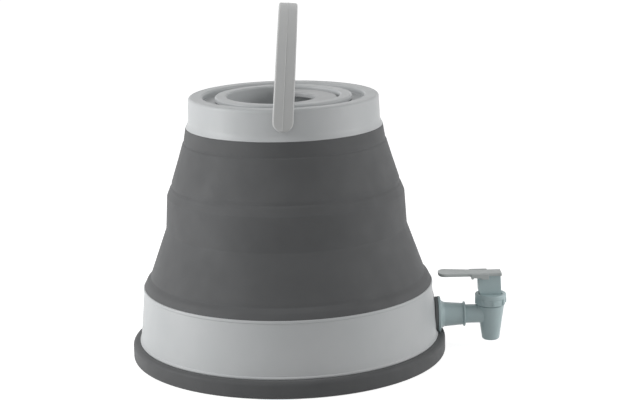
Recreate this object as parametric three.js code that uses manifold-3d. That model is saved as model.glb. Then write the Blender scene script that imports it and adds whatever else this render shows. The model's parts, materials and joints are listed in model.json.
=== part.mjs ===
// Collapsible water carrier: a rigid tub on a soft foot, a folding silicone wall,
// a hard collar with a swinging bail handle, a screw lid with a fold-flat grip,
// and a lever tap through the side of the tub.
// Millimetres, +Z up. The origin is the centre of the foot's flat underside.
// The tap points along +X, and the bail swings about an axis along Y.

import * as THREE from "three";
import { mergeVertices } from "three/addons/utils/BufferGeometryUtils.js";
import Module from "manifold-3d";

const wasm = await Module();
wasm.setup();

// Facets around the large rings, the small turned pieces and a corner round.
const ringFacets = 40;
const smallFacets = 20;
const cornerSteps = 2;

// Clearances and helpers shared by all pieces.
const seatGap = 0.3;
const cutOverrun = 1;
const weldDistance = 0.0001;

// Foot: a soft pan moulded round the bottom of the tub.
const footProud = 5.6;
const footHeight = 14.5;
const panThickness = 3;
const footBottomRound = 2.5;
const footTopRound = 5;
const notchGap = 0.6;

// Tub: the rigid base with the light band.
const tubBottomRadius = 129.4;
const tubTaper = 5.6;
const bossHeadroom = 7;
const tubWall = 3;
const tubFloor = 3;
const tubCornerRound = 2;
const tubLipHeight = 2.6;
const tubLipProud = 0.6;

// Bellows: one silicone wall from the tub's rim to the collar's edge. The shares say how
// far each fold lies from the top edge's radius towards the bottom edge's: bottom edge,
// bulge, notch, low cone, waist's foot, waist's head, shoulder, high cone, top panel, top.
const bellowsWall = 2.5;
const bellowsBottomInset = 0.5;
const bellowsTopInset = 0.1;
const foldRadiusShares = [1, 0.905, 0.846, 0.69, 0.492, 0.444, 0.356, 0.169, 0.049, 0];
const bulgeHeight = 5;
const notchHeight = 5.5;
const lowerConeLowHeight = 18.5;
const lowerConeHighHeight = 20.5;
const waistHeight = 29.5;
const shoulderHeight = 9;
const upperConeLowHeight = 21;
const upperConeHighHeight = 16;
const topPanelHeight = 11.8;
const beadTubeWall = 2.2;
const beadTubeHeight = 7.6;

// Clamp rings that hold the bellows' two beads from inside.
const clampWall = 2.4;
const clampFlange = 2.5;

// Collar: the hard top ring with the finger groove, deck and neck.
const collarRimRadius = 80.5;
const collarDraft = 0.8;
const collarFlareProud = 3.1;
const collarFlareHeight = 5.2;
const collarRimRound = 3;
const collarWall = 2.4;
const rimWidth = 12.2;
const fingerGrooveWidth = 10.3;
const grooveDepth = 5.5;
const grooveEdgeRound = 1.8;
const deckThickness = 2.5;
const neckWall = 2.5;
const neckDepth = 16.2;

// Screw lid: a plug with a deep round well.
const lidRingWidth = 10;
const plugWall = 3.5;
const plugDepth = 20.2;
const lidFloor = 2.5;
const lidOuterRound = 1.8;
const lidInnerRound = 1.5;
const gasketThickness = 1.5;
const gasketInset = 0.5;

// Quick thread with several starts, shared by the lid and the neck.
const threadRoom = 2.3;
const threadStarts = 3;
const threadLead = 18;
const threadRootHeight = 2.4;
const threadTipHeight = 1.4;
const threadTipGap = 0.6;
const threadArcDegrees = 100;
const threadSteps = 10;
const threadSunk = 0.4;
const threadStartHeight = 5;

// Half-ring grip that folds flat into the lid's well.
const gripWellGap = 2.6;
const gripBand = 18.4;
const gripThickness = 4.4;
const gripDrop = 2.5;
const gripHeel = 3.5;
const gripPinRadius = 1.3;
const gripPinReach = 9;
const gripSocketDepth = 2.3;
const gripRestLength = 5;
const gripRestWidth = 10;
const gripRestHeight = 5;

// Bail handle and its two pivot pins.
const bailGap = 0.7;
const bailThickness = 4.2;
const bailFootWidth = 16.7;
const bailTopWidth = 15.3;
const bailPivotDrop = 9.2;
const bailPinRise = 6.6;
const bailLeanDegrees = 3.8;
const bailArcFacets = 32;
const bailPinRadius = 3;
const bailPinHeadRadius = 4.2;
const bailPinHeadLength = 1.8;
const bailSocketDepth = 2.5;
const bailBossWidth = 13;
const bailPinSeatWall = 1.8;

// Tap: lengths run out along +X, heights are taken from the pipe's line.
const spoutTipHeight = 5.5;
const spoutDrop = 23;
const sealSetback = 0.4;
const outerSealThickness = 2.7;
const innerSealThickness = 2;
const spotFaceDepth = 0.7;
const innerBossMargin = 0.9;
const innerBossReach = 3.4;
const shankTubeRadius = 8;
const shankTubeWall = 2;
const shankInsideLength = 12;
const flangeRadius = 15.9;
const flangeThickness = 2.2;
const flangeCoveLength = 3.4;
const barrelRootRadius = 10.65;
const barrelTaper = 1.3;
const barrelLength = 16.3;
const socketDepth = 10.8;
const socketWall = 1.6;
const lockNutMargin = 0.1;
const lockNutThickness = 7;
const stopRingRadius = 11;
const stopRingThickness = 2;
const pipeRadius = 7.9;
const spigotWall = 2.45;
const pipeVisibleLength = 22.2;
const oRingThickness = 1.2;
const oRingWidth = 1.8;
const oRingProud = 0.15;
const oRingGrooveGap = 0.075;
const oRingSetback = 5;

// Tap body: a tapered spout with the valve chamber above it.
const spoutTipRadius = 7.6;
const spoutEdgeRound = 2.1;
const spoutBore = 5.2;
const bodyTopRadius = 11.7;
const bodyRise = 7.8;
const bodyNeckStep = 1.1;
const bodyNeckHeight = 4.9;
const chamberWall = 2;
const chamberFloorStep = 0.6;
const seatDrop = 9;
const seatWall = 1;
const seatStep = 1;

// Bonnet, stem, seat cup and spring.
const bonnetLift = 0.5;
const bonnetProud = 1.2;
const bonnetSpread = 0.7;
const bonnetHeight = 10;
const bonnetRound = 1.2;
const bonnetRimWall = 1.5;
const bonnetFloor = 3;
const bonnetRibCount = 8;
const bonnetRibWidth = 1;
const bonnetRibProud = 0.45;
const bonnetRibTurnDegrees = 6;
const stemRadius = 2.2;
const stemDiscInset = 1.1;
const stemDiscThickness = 2;
const stemStudRadius = 2;
const stemStudLength = 5.5;
const tongueWidth = 8;
const tongueLift = 1.3;
const cupGap = 1.2;
const cupHeight = 9.8;
const springRadius = 4.6;
const springWireRadius = 0.5;
const springTurns = 5;
const springSteps = 8;
const springSides = 5;

// Lever: hub, paddle, clip and pin.
const hubFrontSetback = 3.2;
const hubBackSetback = 0.5;
const hubWidth = 11;
const hubHeight = 18.9;
const hubChamferLength = 3;
const hubChamferHeight = 5;
const leverPinLift = 6.5;
const leverPinRadius = 1.5;
const hubSlotRoom = 2.5;
const paddleTipWidth = 20.2;
const paddleNeckWidth = 17;
const paddleRootWidth = 15;
const paddleThickness = 2.6;
const paddleTipGap = 5;
const paddleTipRise = 0.6;
const paddleEdgeDrop = 0.5;
const clipReach = 6;
const clipFront = 2.4;
const clipWall = 1.5;
const clipFloor = 0.9;
const clipLegLength = 2.1;
const clipLegDrop = 1;
const clipCheekLength = 6.6;
const clipCheekDrop = 1.3;

// Radii that follow from the sizes above, from the outside in.
const footRadius = tubBottomRadius + footProud;
const tubTopRadius = tubBottomRadius - tubTaper;
const collarBottomRadius = collarRimRadius + collarDraft;
const collarFlareRadius = collarBottomRadius + collarFlareProud;
const grooveOuterRadius = collarRimRadius - rimWidth;
const lidRadius = grooveOuterRadius - fingerGrooveWidth;
const wellRadius = lidRadius - lidRingWidth;
const plugRadius = wellRadius + plugWall;
const neckBore = plugRadius + threadRoom;
const gripOuterRadius = wellRadius - gripWellGap;
const gripInnerRadius = gripOuterRadius - gripBand;
const pinSeatY = grooveOuterRadius + collarWall + bailPinSeatWall;

// Radii of the tap's pieces.
const sealRadius = flangeRadius - sealSetback;
const innerBossRadius = sealRadius + innerBossMargin;
const shankBore = shankTubeRadius - shankTubeWall;
const barrelTipRadius = barrelRootRadius - barrelTaper;
const socketRadius = barrelTipRadius - socketWall;
const spigotRadius = socketRadius - seatGap;
const pipeBore = spigotRadius - spigotWall;
const oRingBore = spigotRadius + oRingProud - oRingThickness;
const bodyNeckRadius = bodyTopRadius - bodyNeckStep;
const chamberRadius = bodyNeckRadius - chamberWall;
const cupRadius = chamberRadius - cupGap;
const stemDiscRadius = cupRadius - stemDiscInset;
const bonnetBottomRadius = bodyTopRadius + bonnetProud;
const bonnetTopRadius = bonnetBottomRadius + bonnetSpread;
const mouthRadius = bonnetTopRadius - bonnetRimWall;
const hubFront = mouthRadius - hubFrontSetback;
const hubBack = mouthRadius - hubBackSetback;
const clipBack = hubBack + clipReach;

// Heights of the tub: its wall has room for the tap's boss below the clamp ring.
const tapHeight = spoutTipHeight + spoutDrop;
const tubBottomZ = panThickness;
const lowerClampZ = tapHeight + innerBossRadius + bossHeadroom;
const lowerBeadZ = lowerClampZ + clampFlange;
const tubRimZ = lowerBeadZ + beadTubeHeight;

// Folds of the bellows, as [radius, height] from the bottom edge to the top edge.
const bellowsHeights = [
  bulgeHeight,
  notchHeight,
  lowerConeLowHeight,
  lowerConeHighHeight,
  waistHeight,
  shoulderHeight,
  upperConeLowHeight,
  upperConeHighHeight,
  topPanelHeight,
];
const bellowsBottomRadius = tubTopRadius - bellowsBottomInset;
const bellowsTopRadius = collarFlareRadius - bellowsTopInset;
const bellowsSpread = bellowsBottomRadius - bellowsTopRadius;
const bellowsFolds = foldRadiusShares.map((share, i) => {
  const height = bellowsHeights.slice(0, i).reduce((sum, h) => sum + h, 0);
  return [bellowsTopRadius + share * bellowsSpread, tubRimZ + height];
});

// Heights of the collar and the lid.
const collarZ = bellowsFolds.at(-1)[1];
const upperBeadZ = collarZ + beadTubeHeight;
const upperClampTopZ = upperBeadZ + clampFlange;
const pivotZ = upperClampTopZ + bailPinRise;
const rimZ = pivotZ + bailPivotDrop;
const deckZ = rimZ - grooveDepth;
const lidUndersideZ = deckZ + gasketThickness;
const lidBottomZ = lidUndersideZ - plugDepth;
const gripTopZ = rimZ - gripDrop;
const gripAxisZ = gripTopZ - gripThickness / 2;
const gripUndersideZ = gripTopZ - gripThickness;

// Heights of the tap's pieces.
const seatZ = tapHeight - seatDrop;
const discZ = seatZ + cupHeight;
const springZ = discZ + stemDiscThickness;
const bodyTopZ = tapHeight + bodyRise;
const bonnetZ = bodyTopZ + bonnetLift;
const bonnetTopZ = bonnetZ + bonnetHeight;
const bonnetFloorZ = bodyTopZ + bodyNeckHeight;
const mouthZ = bonnetFloorZ + bonnetFloor;
const hubBottomZ = mouthZ + seatGap;
const hubTopZ = hubBottomZ + hubHeight;
const leverPinZ = hubBottomZ + leverPinLift;
const tongueBottomZ = mouthZ + tongueLift;
const tongueTopZ = leverPinZ + tongueWidth / 2;

// Places of the tap's pieces along +X.
const tubDraft = tubTaper / (tubRimZ - tubBottomZ);
const tubOuterAt = (z) => tubBottomRadius - tubDraft * (z - tubBottomZ);
const spotFaceX = tubOuterAt(tapHeight) - spotFaceDepth;
const flangeX = spotFaceX + outerSealThickness;
const barrelX = flangeX + flangeThickness + flangeCoveLength;
const ringX = barrelX + barrelLength;
const oRingX = ringX - oRingSetback;
const pipeX = ringX + stopRingThickness;
const tapAxisX = pipeX + pipeVisibleLength;
const innerFaceX = tubOuterAt(tapHeight) - tubWall - innerBossReach;
const shankEndX = innerFaceX - shankInsideLength;
const paddleReach = tapAxisX - (tubTopRadius + tubLipProud + paddleTipGap);

// Axis maps that only swap coordinates, so flat faces stay exact.
const axisToZ = new THREE.Matrix4().set(0, 0, 1, 0, 1, 0, 0, 0, 0, 1, 0, 0, 0, 0, 0, 1);
const axisToX = new THREE.Matrix4().set(0, 1, 0, 0, 0, 0, 1, 0, 1, 0, 0, 0, 0, 0, 0, 1);
const sideOn = new THREE.Matrix4().set(1, 0, 0, 0, 0, 0, -1, 0, 0, 1, 0, 0, 0, 0, 0, 1);

const degrees = THREE.MathUtils.degToRad;

// Points of a quarter round, from one angle to another about a centre.
function arc(centreR, centreZ, radius, fromDegrees, toDegrees, steps = cornerSteps) {
  const points = [];
  for (let i = 0; i <= steps; i += 1) {
    const angle = degrees(fromDegrees + ((toDegrees - fromDegrees) * i) / steps);
    points.push([centreR + radius * Math.cos(angle), centreZ + radius * Math.sin(angle)]);
  }
  return points;
}

// A turned piece about Z from [radius, height] points, outside wall going up.
function turned(profile, facets = ringFacets) {
  const closed = profile[0][0] === 0 ? profile : [...profile, profile[0]];
  const points = closed.map(([r, z]) => new THREE.Vector2(r, z));
  return new THREE.LatheGeometry(points, facets).applyMatrix4(axisToZ);
}

// The same about the tap's line: points are [radius, x].
function turnedAlongX(profile, facets = smallFacets) {
  const closed = profile[0][0] === 0 ? profile : [...profile, profile[0]];
  const points = closed.map(([r, x]) => new THREE.Vector2(r, x));
  return new THREE.LatheGeometry(points, facets).applyMatrix4(axisToX);
}

// A plain round bar about Z or X between two places.
const rod = (radius, from, to, facets = smallFacets) =>
  turned([[0, from], [radius, from], [radius, to], [0, to]], facets);
const rodAlongX = (radius, from, to, facets = smallFacets) =>
  turnedAlongX([[0, from], [radius, from], [radius, to], [0, to]], facets);

// A round bar along Y between two places.
function rodAlongY(radius, from, to, facets = smallFacets) {
  const bar = new THREE.CylinderGeometry(radius, radius, to - from, facets);
  return bar.translate(0, (from + to) / 2, 0);
}

// A block from its low corner to its high corner.
function block(low, high) {
  const size = high.map((value, i) => value - low[i]);
  const box = new THREE.BoxGeometry(...size);
  return box.translate(...low.map((value, i) => value + size[i] / 2));
}

// A flat outline in X and Z, given a width across Y.
function acrossY(shape, width, curveSegments = smallFacets) {
  const plate = new THREE.ExtrudeGeometry(shape, { depth: width, bevelEnabled: false, curveSegments });
  return plate.applyMatrix4(sideOn).translate(0, width / 2, 0);
}

// A flat outline in Y and Z, given a width across X.
function acrossX(shape, width, curveSegments = smallFacets) {
  const plate = new THREE.ExtrudeGeometry(shape, { depth: width, bevelEnabled: false, curveSegments });
  return plate.applyMatrix4(axisToZ).translate(-width / 2, 0, 0);
}

// A flat outline in X and Y, given a height along Z.
function upright(shape, lowZ, height, curveSegments = smallFacets) {
  const plate = new THREE.ExtrudeGeometry(shape, { depth: height, bevelEnabled: false, curveSegments });
  return plate.translate(0, 0, lowZ);
}

// A closed body through rings of points, with a flat cap on each end.
function lofted(rings) {
  const sides = rings[0].length;
  const positions = rings.flat(2);
  const index = [];
  for (let i = 0; i + 1 < rings.length; i += 1) {
    for (let j = 0; j < sides; j += 1) {
      const next = (j + 1) % sides;
      const a = i * sides + j;
      const b = i * sides + next;
      index.push(a, b, a + sides, b, b + sides, a + sides);
    }
  }
  const last = (rings.length - 1) * sides;
  for (let j = 1; j + 1 < sides; j += 1) {
    index.push(0, j + 1, j, last, last + j, last + j + 1);
  }
  const body = new THREE.BufferGeometry();
  body.setAttribute("position", new THREE.Float32BufferAttribute(positions, 3));
  body.setIndex(index);
  return body;
}

// Cutting and joining.
function toSolid(geometry) {
  const bare = geometry.clone();
  bare.deleteAttribute("normal");
  bare.deleteAttribute("uv");
  const welded = mergeVertices(bare, weldDistance);
  const vertProperties = new Float32Array(welded.getAttribute("position").array);
  const triVerts = new Uint32Array(welded.index.array);
  return new wasm.Manifold(new wasm.Mesh({ numProp: 3, vertProperties, triVerts }));
}

function toGeometry(solid) {
  const { vertProperties, triVerts } = solid.getMesh();
  const geometry = new THREE.BufferGeometry();
  geometry.setAttribute("position", new THREE.Float32BufferAttribute(vertProperties, 3));
  geometry.setIndex([...triVerts]);
  return geometry;
}

const joined = (first, ...others) =>
  toGeometry(others.reduce((solid, next) => solid.add(toSolid(next)), toSolid(first)));
const cut = (first, ...others) =>
  toGeometry(others.reduce((solid, next) => solid.subtract(toSolid(next)), toSolid(first)));
const shared = (first, second) => toGeometry(toSolid(first).intersect(toSolid(second)));

// Finishes.
const finish = (color, roughness) => new THREE.MeshStandardMaterial({ color, roughness, metalness: 0 });
const lightPlastic = () => finish("#c4c7c9", 0.42);
const handlePlastic = () => finish("#9a9c9d", 0.45);
const tapPlastic = () => finish("#869698", 0.38);
const darkSilicone = () => finish("#55585a", 0.6);
const footRubber = () => finish("#4b4e50", 0.65);
const blackRubber = () => finish("#232526", 0.7);
const springSteel = () =>
  new THREE.MeshStandardMaterial({ color: "#b9bbbd", roughness: 0.3, metalness: 1 });

const carrier = new THREE.Group();

function place(name, geometry, material, parent = carrier) {
  const mesh = new THREE.Mesh(geometry, material);
  mesh.name = name;
  parent.add(mesh);
  return mesh;
}

// Foot pan: flat underneath, rounded ring outside, tub seated inside,
// and a shallow notch in the ring that lets the tap's flange pass.
function footPan() {
  const innerTop = tubOuterAt(footHeight) + seatGap;
  const innerBottom = tubBottomRadius + seatGap;
  const pan = turned([
    [0, 0],
    ...arc(footRadius - footBottomRound, footBottomRound, footBottomRound, -90, 0),
    ...arc(footRadius - footTopRound, footHeight - footTopRound, footTopRound, 0, 90),
    [innerTop, footHeight],
    [innerBottom, panThickness],
    [0, panThickness],
  ]);
  const notch = rodAlongX(flangeRadius + notchGap, spotFaceX - cutOverrun, footRadius + cutOverrun);
  return cut(pan, notch.translate(0, 0, tapHeight));
}

// Tub: tapered wall with a lip at its rim and a plain seat for the bellows' bead.
const tubSeatRadius = tubTopRadius - tubWall;

function baseTub() {
  const lipZ = tubRimZ - tubLipHeight;
  const seatEndZ = lowerBeadZ - clampFlange - cutOverrun;
  const innerFloorZ = tubBottomZ + tubFloor;
  const innerBottomRadius = tubOuterAt(innerFloorZ) - tubWall;
  const shell = turned([
    [0, tubBottomZ],
    [tubBottomRadius - tubCornerRound, tubBottomZ],
    [tubOuterAt(tubBottomZ + tubCornerRound), tubBottomZ + tubCornerRound],
    [tubOuterAt(lipZ), lipZ],
    [tubOuterAt(lipZ) + tubLipProud, lipZ + tubLipProud],
    [tubTopRadius + tubLipProud, tubRimZ - tubLipProud],
    [tubTopRadius, tubRimZ],
    [tubSeatRadius, tubRimZ],
    [tubSeatRadius, seatEndZ],
    [tubOuterAt(seatEndZ - tubWall) - tubWall, seatEndZ - tubWall],
    [innerBottomRadius, innerFloorZ + tubCornerRound],
    [innerBottomRadius - tubCornerRound, innerFloorZ],
    [0, innerFloorZ],
  ]);
  const wallMiddleX = tubOuterAt(tapHeight) - tubWall / 2;
  const boss = rodAlongX(innerBossRadius, innerFaceX, wallMiddleX).translate(0, 0, tapHeight);
  const spotFace = rodAlongX(sealRadius + 2 * seatGap, spotFaceX, footRadius).translate(0, 0, tapHeight);
  const bore = rodAlongX(shankTubeRadius + seatGap, innerFaceX - cutOverrun, footRadius);
  return cut(joined(shell, boss), spotFace, bore.translate(0, 0, tapHeight));
}

// Clamp ring inside one bead tube, with its flange over the tube's end.
function clampRing(beadInnerRadius, seatRadius, endZ, towardsZ) {
  const outer = beadInnerRadius - seatGap;
  const inner = outer - clampWall;
  const flangeFarZ = endZ + clampFlange * Math.sign(endZ - towardsZ);
  const profile = [
    [inner, towardsZ],
    [outer, towardsZ],
    [outer, endZ],
    [seatRadius - seatGap, endZ],
    [seatRadius - seatGap, flangeFarZ],
    [inner, flangeFarZ],
  ];
  return turned(endZ > towardsZ ? profile : profile.reverse());
}

// Bellows: outer line in panels, inner line one wall inside, a bead tube at each end.
const collarSeatRadius = collarBottomRadius - collarWall;
const lowerBeadOuter = tubSeatRadius - seatGap;
const upperBeadOuter = collarSeatRadius - seatGap;

function bellows() {
  const inner = bellowsFolds.slice(1, -1).map(([r, z]) => [r - bellowsWall, z]);
  return turned([
    [lowerBeadOuter - beadTubeWall, lowerBeadZ],
    [lowerBeadOuter, lowerBeadZ],
    [lowerBeadOuter, tubRimZ],
    ...bellowsFolds,
    [upperBeadOuter, collarZ],
    [upperBeadOuter, upperBeadZ],
    [upperBeadOuter - beadTubeWall, upperBeadZ],
    [upperBeadOuter - beadTubeWall, collarZ - bellowsWall],
    ...inner.reverse(),
    [lowerBeadOuter - beadTubeWall, tubRimZ],
  ]);
}

// Helical ribs of the quick thread, one per start.
function threadRibs(rootRadius, tipRadius, startZ) {
  const ribs = [];
  for (let start = 0; start < threadStarts; start += 1) {
    const rings = [];
    for (let i = 0; i <= threadSteps; i += 1) {
      const turn = (threadArcDegrees * i) / threadSteps;
      const angle = degrees(turn + (360 * start) / threadStarts);
      const z = startZ + (threadLead * turn) / 360;
      const section = [
        [rootRadius, z - threadRootHeight / 2],
        [tipRadius, z - threadTipHeight / 2],
        [tipRadius, z + threadTipHeight / 2],
        [rootRadius, z + threadRootHeight / 2],
      ];
      const ring = section.map(([r, h]) => [r * Math.cos(angle), r * Math.sin(angle), h]);
      rings.push(tipRadius > rootRadius ? ring : ring.reverse());
    }
    ribs.push(lofted(rings.reverse()));
  }
  return ribs;
}

// Collar: outer skirt, rim, finger groove, deck and threaded neck in one moulding.
function collar() {
  const deckUndersideZ = deckZ - deckThickness;
  const neckOuter = neckBore + neckWall;
  const grooveWallOuter = grooveOuterRadius + collarWall;
  const rimUndersideZ = rimZ - collarWall;
  const seatTopZ = upperClampTopZ + cutOverrun;
  const shell = turned([
    [collarSeatRadius, collarZ],
    [collarFlareRadius, collarZ],
    [collarBottomRadius, collarZ + collarFlareHeight],
    ...arc(collarRimRadius - collarRimRound, rimZ - collarRimRound, collarRimRound, 0, 90),
    ...arc(grooveOuterRadius + grooveEdgeRound, rimZ - grooveEdgeRound, grooveEdgeRound, 90, 180),
    [grooveOuterRadius, deckZ],
    [neckBore, deckZ],
    [neckBore, deckZ - neckDepth],
    [neckOuter, deckZ - neckDepth],
    [neckOuter, deckUndersideZ],
    [grooveWallOuter, deckUndersideZ],
    [grooveWallOuter, rimUndersideZ],
    [collarRimRadius - collarWall, rimUndersideZ],
    [collarSeatRadius, seatTopZ],
  ]);
  const ribZ = lidBottomZ + threadStartHeight + threadLead / threadStarts / 2;
  const ribs = threadRibs(neckBore + threadSunk, plugRadius + threadTipGap, ribZ);
  const bosses = [];
  const bores = [];
  for (const side of [-1, 1]) {
    const inner = grooveOuterRadius + collarWall / 2;
    const outer = collarSeatRadius + collarWall / 2;
    const ends = [side * inner, side * outer].sort((a, b) => a - b);
    const low = [-bailBossWidth / 2, ends[0], upperClampTopZ + seatGap];
    const high = [bailBossWidth / 2, ends[1], rimUndersideZ + collarWall / 2];
    bosses.push(block(low, high));
    const boreEnds = [side * pinSeatY, side * collarFlareRadius].sort((a, b) => a - b);
    bores.push(rodAlongY(bailPinRadius + seatGap, ...boreEnds).translate(0, 0, pivotZ));
  }
  return cut(joined(shell, ...ribs, ...bosses), ...bores);
}

// Lid: plug, flange flush with the collar's rim, and a well for the grip.
function lid() {
  const wellFloorZ = lidBottomZ + lidFloor;
  const shell = turned([
    [0, lidBottomZ],
    [plugRadius, lidBottomZ],
    [plugRadius, lidUndersideZ],
    [lidRadius, lidUndersideZ],
    ...arc(lidRadius - lidOuterRound, rimZ - lidOuterRound, lidOuterRound, 0, 90),
    ...arc(wellRadius + lidInnerRound, rimZ - lidInnerRound, lidInnerRound, 90, 180),
    [wellRadius, wellFloorZ + lidInnerRound],
    [wellRadius - lidInnerRound, wellFloorZ],
    [0, wellFloorZ],
  ]);
  const ribs = threadRibs(plugRadius - threadSunk, neckBore - threadTipGap, lidBottomZ + threadStartHeight);
  const rest = block(
    [wellRadius - gripRestLength, -gripRestWidth / 2, gripUndersideZ - gripRestHeight],
    [wellRadius + cutOverrun, gripRestWidth / 2, gripUndersideZ],
  );
  const reach = wellRadius + gripSocketDepth;
  const sockets = rodAlongY(gripPinRadius + seatGap, -reach, reach).translate(0, 0, gripAxisZ);
  const core = rodAlongY(gripPinRadius + 2 * seatGap, -wellRadius / 2, wellRadius / 2);
  return cut(joined(shell, ...ribs, rest), sockets, core.translate(0, 0, gripAxisZ));
}

function lidGasket() {
  const inner = neckBore + gasketInset;
  return turned([
    [inner, deckZ],
    [lidRadius - 2 * seatGap, deckZ],
    [lidRadius - 2 * seatGap, lidUndersideZ],
    [inner, lidUndersideZ],
  ]);
}

// Half-ring grip with square heels behind its hinge line.
function lidGrip() {
  const outline = new THREE.Shape();
  outline.moveTo(-gripHeel, -gripOuterRadius);
  outline.lineTo(0, -gripOuterRadius);
  outline.absarc(0, 0, gripOuterRadius, -Math.PI / 2, Math.PI / 2, false);
  outline.lineTo(-gripHeel, gripOuterRadius);
  outline.lineTo(-gripHeel, gripInnerRadius);
  outline.lineTo(0, gripInnerRadius);
  outline.absarc(0, 0, gripInnerRadius, Math.PI / 2, -Math.PI / 2, true);
  outline.lineTo(-gripHeel, -gripInnerRadius);
  const plate = upright(outline, gripUndersideZ, gripThickness);
  const reach = gripOuterRadius + cutOverrun;
  const seat = gripOuterRadius - gripPinReach - seatGap;
  const bores = [[-reach, -seat], [seat, reach]].map(([from, to]) =>
    rodAlongY(gripPinRadius + seatGap, from, to).translate(0, 0, gripAxisZ));
  return cut(plate, ...bores);
}

function lidGripPin(side) {
  const ends = [side * (gripOuterRadius - gripPinReach), side * (wellRadius + gripSocketDepth)];
  return rodAlongY(gripPinRadius, ...ends.sort((a, b) => a - b), smallFacets / 2).translate(0, 0, gripAxisZ);
}

// Bail: an arch seen from the front, trimmed to its tapered side outline.
const bailInnerRadius = collarBottomRadius + bailGap;
const bailOuterRadius = bailInnerRadius + bailThickness;

function bailHandle() {
  const footDrop = bailFootWidth / 2 + cutOverrun;
  const arch = new THREE.Shape();
  arch.moveTo(bailOuterRadius, -footDrop);
  arch.lineTo(bailOuterRadius, 0);
  arch.absarc(0, 0, bailOuterRadius, 0, Math.PI, false);
  arch.lineTo(-bailOuterRadius, -footDrop);
  arch.lineTo(-bailInnerRadius, -footDrop);
  arch.lineTo(-bailInnerRadius, 0);
  arch.absarc(0, 0, bailInnerRadius, Math.PI, 0, true);
  arch.lineTo(bailInnerRadius, -footDrop);
  const side = new THREE.Shape();
  side.moveTo(bailFootWidth / 2, 0);
  side.lineTo(bailTopWidth / 2, bailOuterRadius + cutOverrun);
  side.lineTo(-bailTopWidth / 2, bailOuterRadius + cutOverrun);
  side.lineTo(-bailFootWidth / 2, 0);
  side.absarc(0, 0, bailFootWidth / 2, Math.PI, 2 * Math.PI, false);
  const strap = shared(
    acrossX(arch, bailFootWidth + 2 * cutOverrun, bailArcFacets),
    acrossY(side, 2 * (bailOuterRadius + cutOverrun), smallFacets / 2),
  );
  const socketRadius = bailPinHeadRadius + seatGap;
  const socketEnd = bailInnerRadius + bailSocketDepth;
  const socketStart = bailInnerRadius - cutOverrun;
  return cut(
    strap,
    rodAlongY(socketRadius, socketStart, socketEnd),
    rodAlongY(socketRadius, -socketEnd, -socketStart),
  );
}

// Pivot pin: shank in the collar's boss, head in the bail's blind socket.
function bailPin(side) {
  const tip = bailInnerRadius + bailSocketDepth - seatGap;
  const headStart = tip - bailPinHeadLength;
  const shank = [side * pinSeatY, side * (headStart + cutOverrun)].sort((a, b) => a - b);
  const head = [side * headStart, side * tip].sort((a, b) => a - b);
  return joined(rodAlongY(bailPinRadius, ...shank), rodAlongY(bailPinHeadRadius, ...head));
}

// Tap seals: flat rings outside and inside the tub wall.
function sealRing(fromX, toX) {
  return turnedAlongX([
    [shankTubeRadius + seatGap, fromX],
    [sealRadius, fromX],
    [sealRadius, toX],
    [shankTubeRadius + seatGap, toX],
  ]);
}

// Shank: threaded tube through the wall, flange, coved barrel and pipe socket.
function tapShank() {
  const flangeFrontX = flangeX + flangeThickness;
  const cove = arc(flangeRadius, barrelX, flangeRadius - barrelRootRadius, 240, 180);
  const coveShare = flangeCoveLength / (flangeRadius - barrelRootRadius);
  const covePoints = cove.map(([r, x]) => [r, barrelX + (x - barrelX) * coveShare]);
  return turnedAlongX([
    [shankBore, shankEndX],
    [shankTubeRadius, shankEndX],
    [shankTubeRadius, flangeX],
    [flangeRadius, flangeX],
    [flangeRadius, flangeFrontX],
    ...covePoints,
    [barrelTipRadius, ringX],
    [socketRadius, ringX],
    [socketRadius, ringX - socketDepth],
    [shankBore, ringX - socketDepth],
  ]);
}

// Lock nut: a six-sided nut on the shank's inner end, its corners level with the seal.
function lockNut() {
  const corner = sealRadius + lockNutMargin;
  const farX = innerFaceX - innerSealThickness;
  const hexagon = rodAlongX(corner, farX - lockNutThickness, farX, 6);
  const bore = rodAlongX(shankTubeRadius + seatGap, farX - lockNutThickness - cutOverrun, farX + cutOverrun);
  return cut(hexagon, bore);
}

function stopRing() {
  return turnedAlongX([
    [spigotRadius + seatGap, ringX],
    [stopRingRadius, ringX],
    [stopRingRadius, pipeX],
    [spigotRadius + seatGap, pipeX],
  ]);
}

function pipeORing() {
  return turnedAlongX([
    [oRingBore, oRingX],
    [oRingBore + oRingThickness, oRingX],
    [oRingBore + oRingThickness, oRingX + oRingWidth],
    [oRingBore, oRingX + oRingWidth],
  ]);
}

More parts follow.
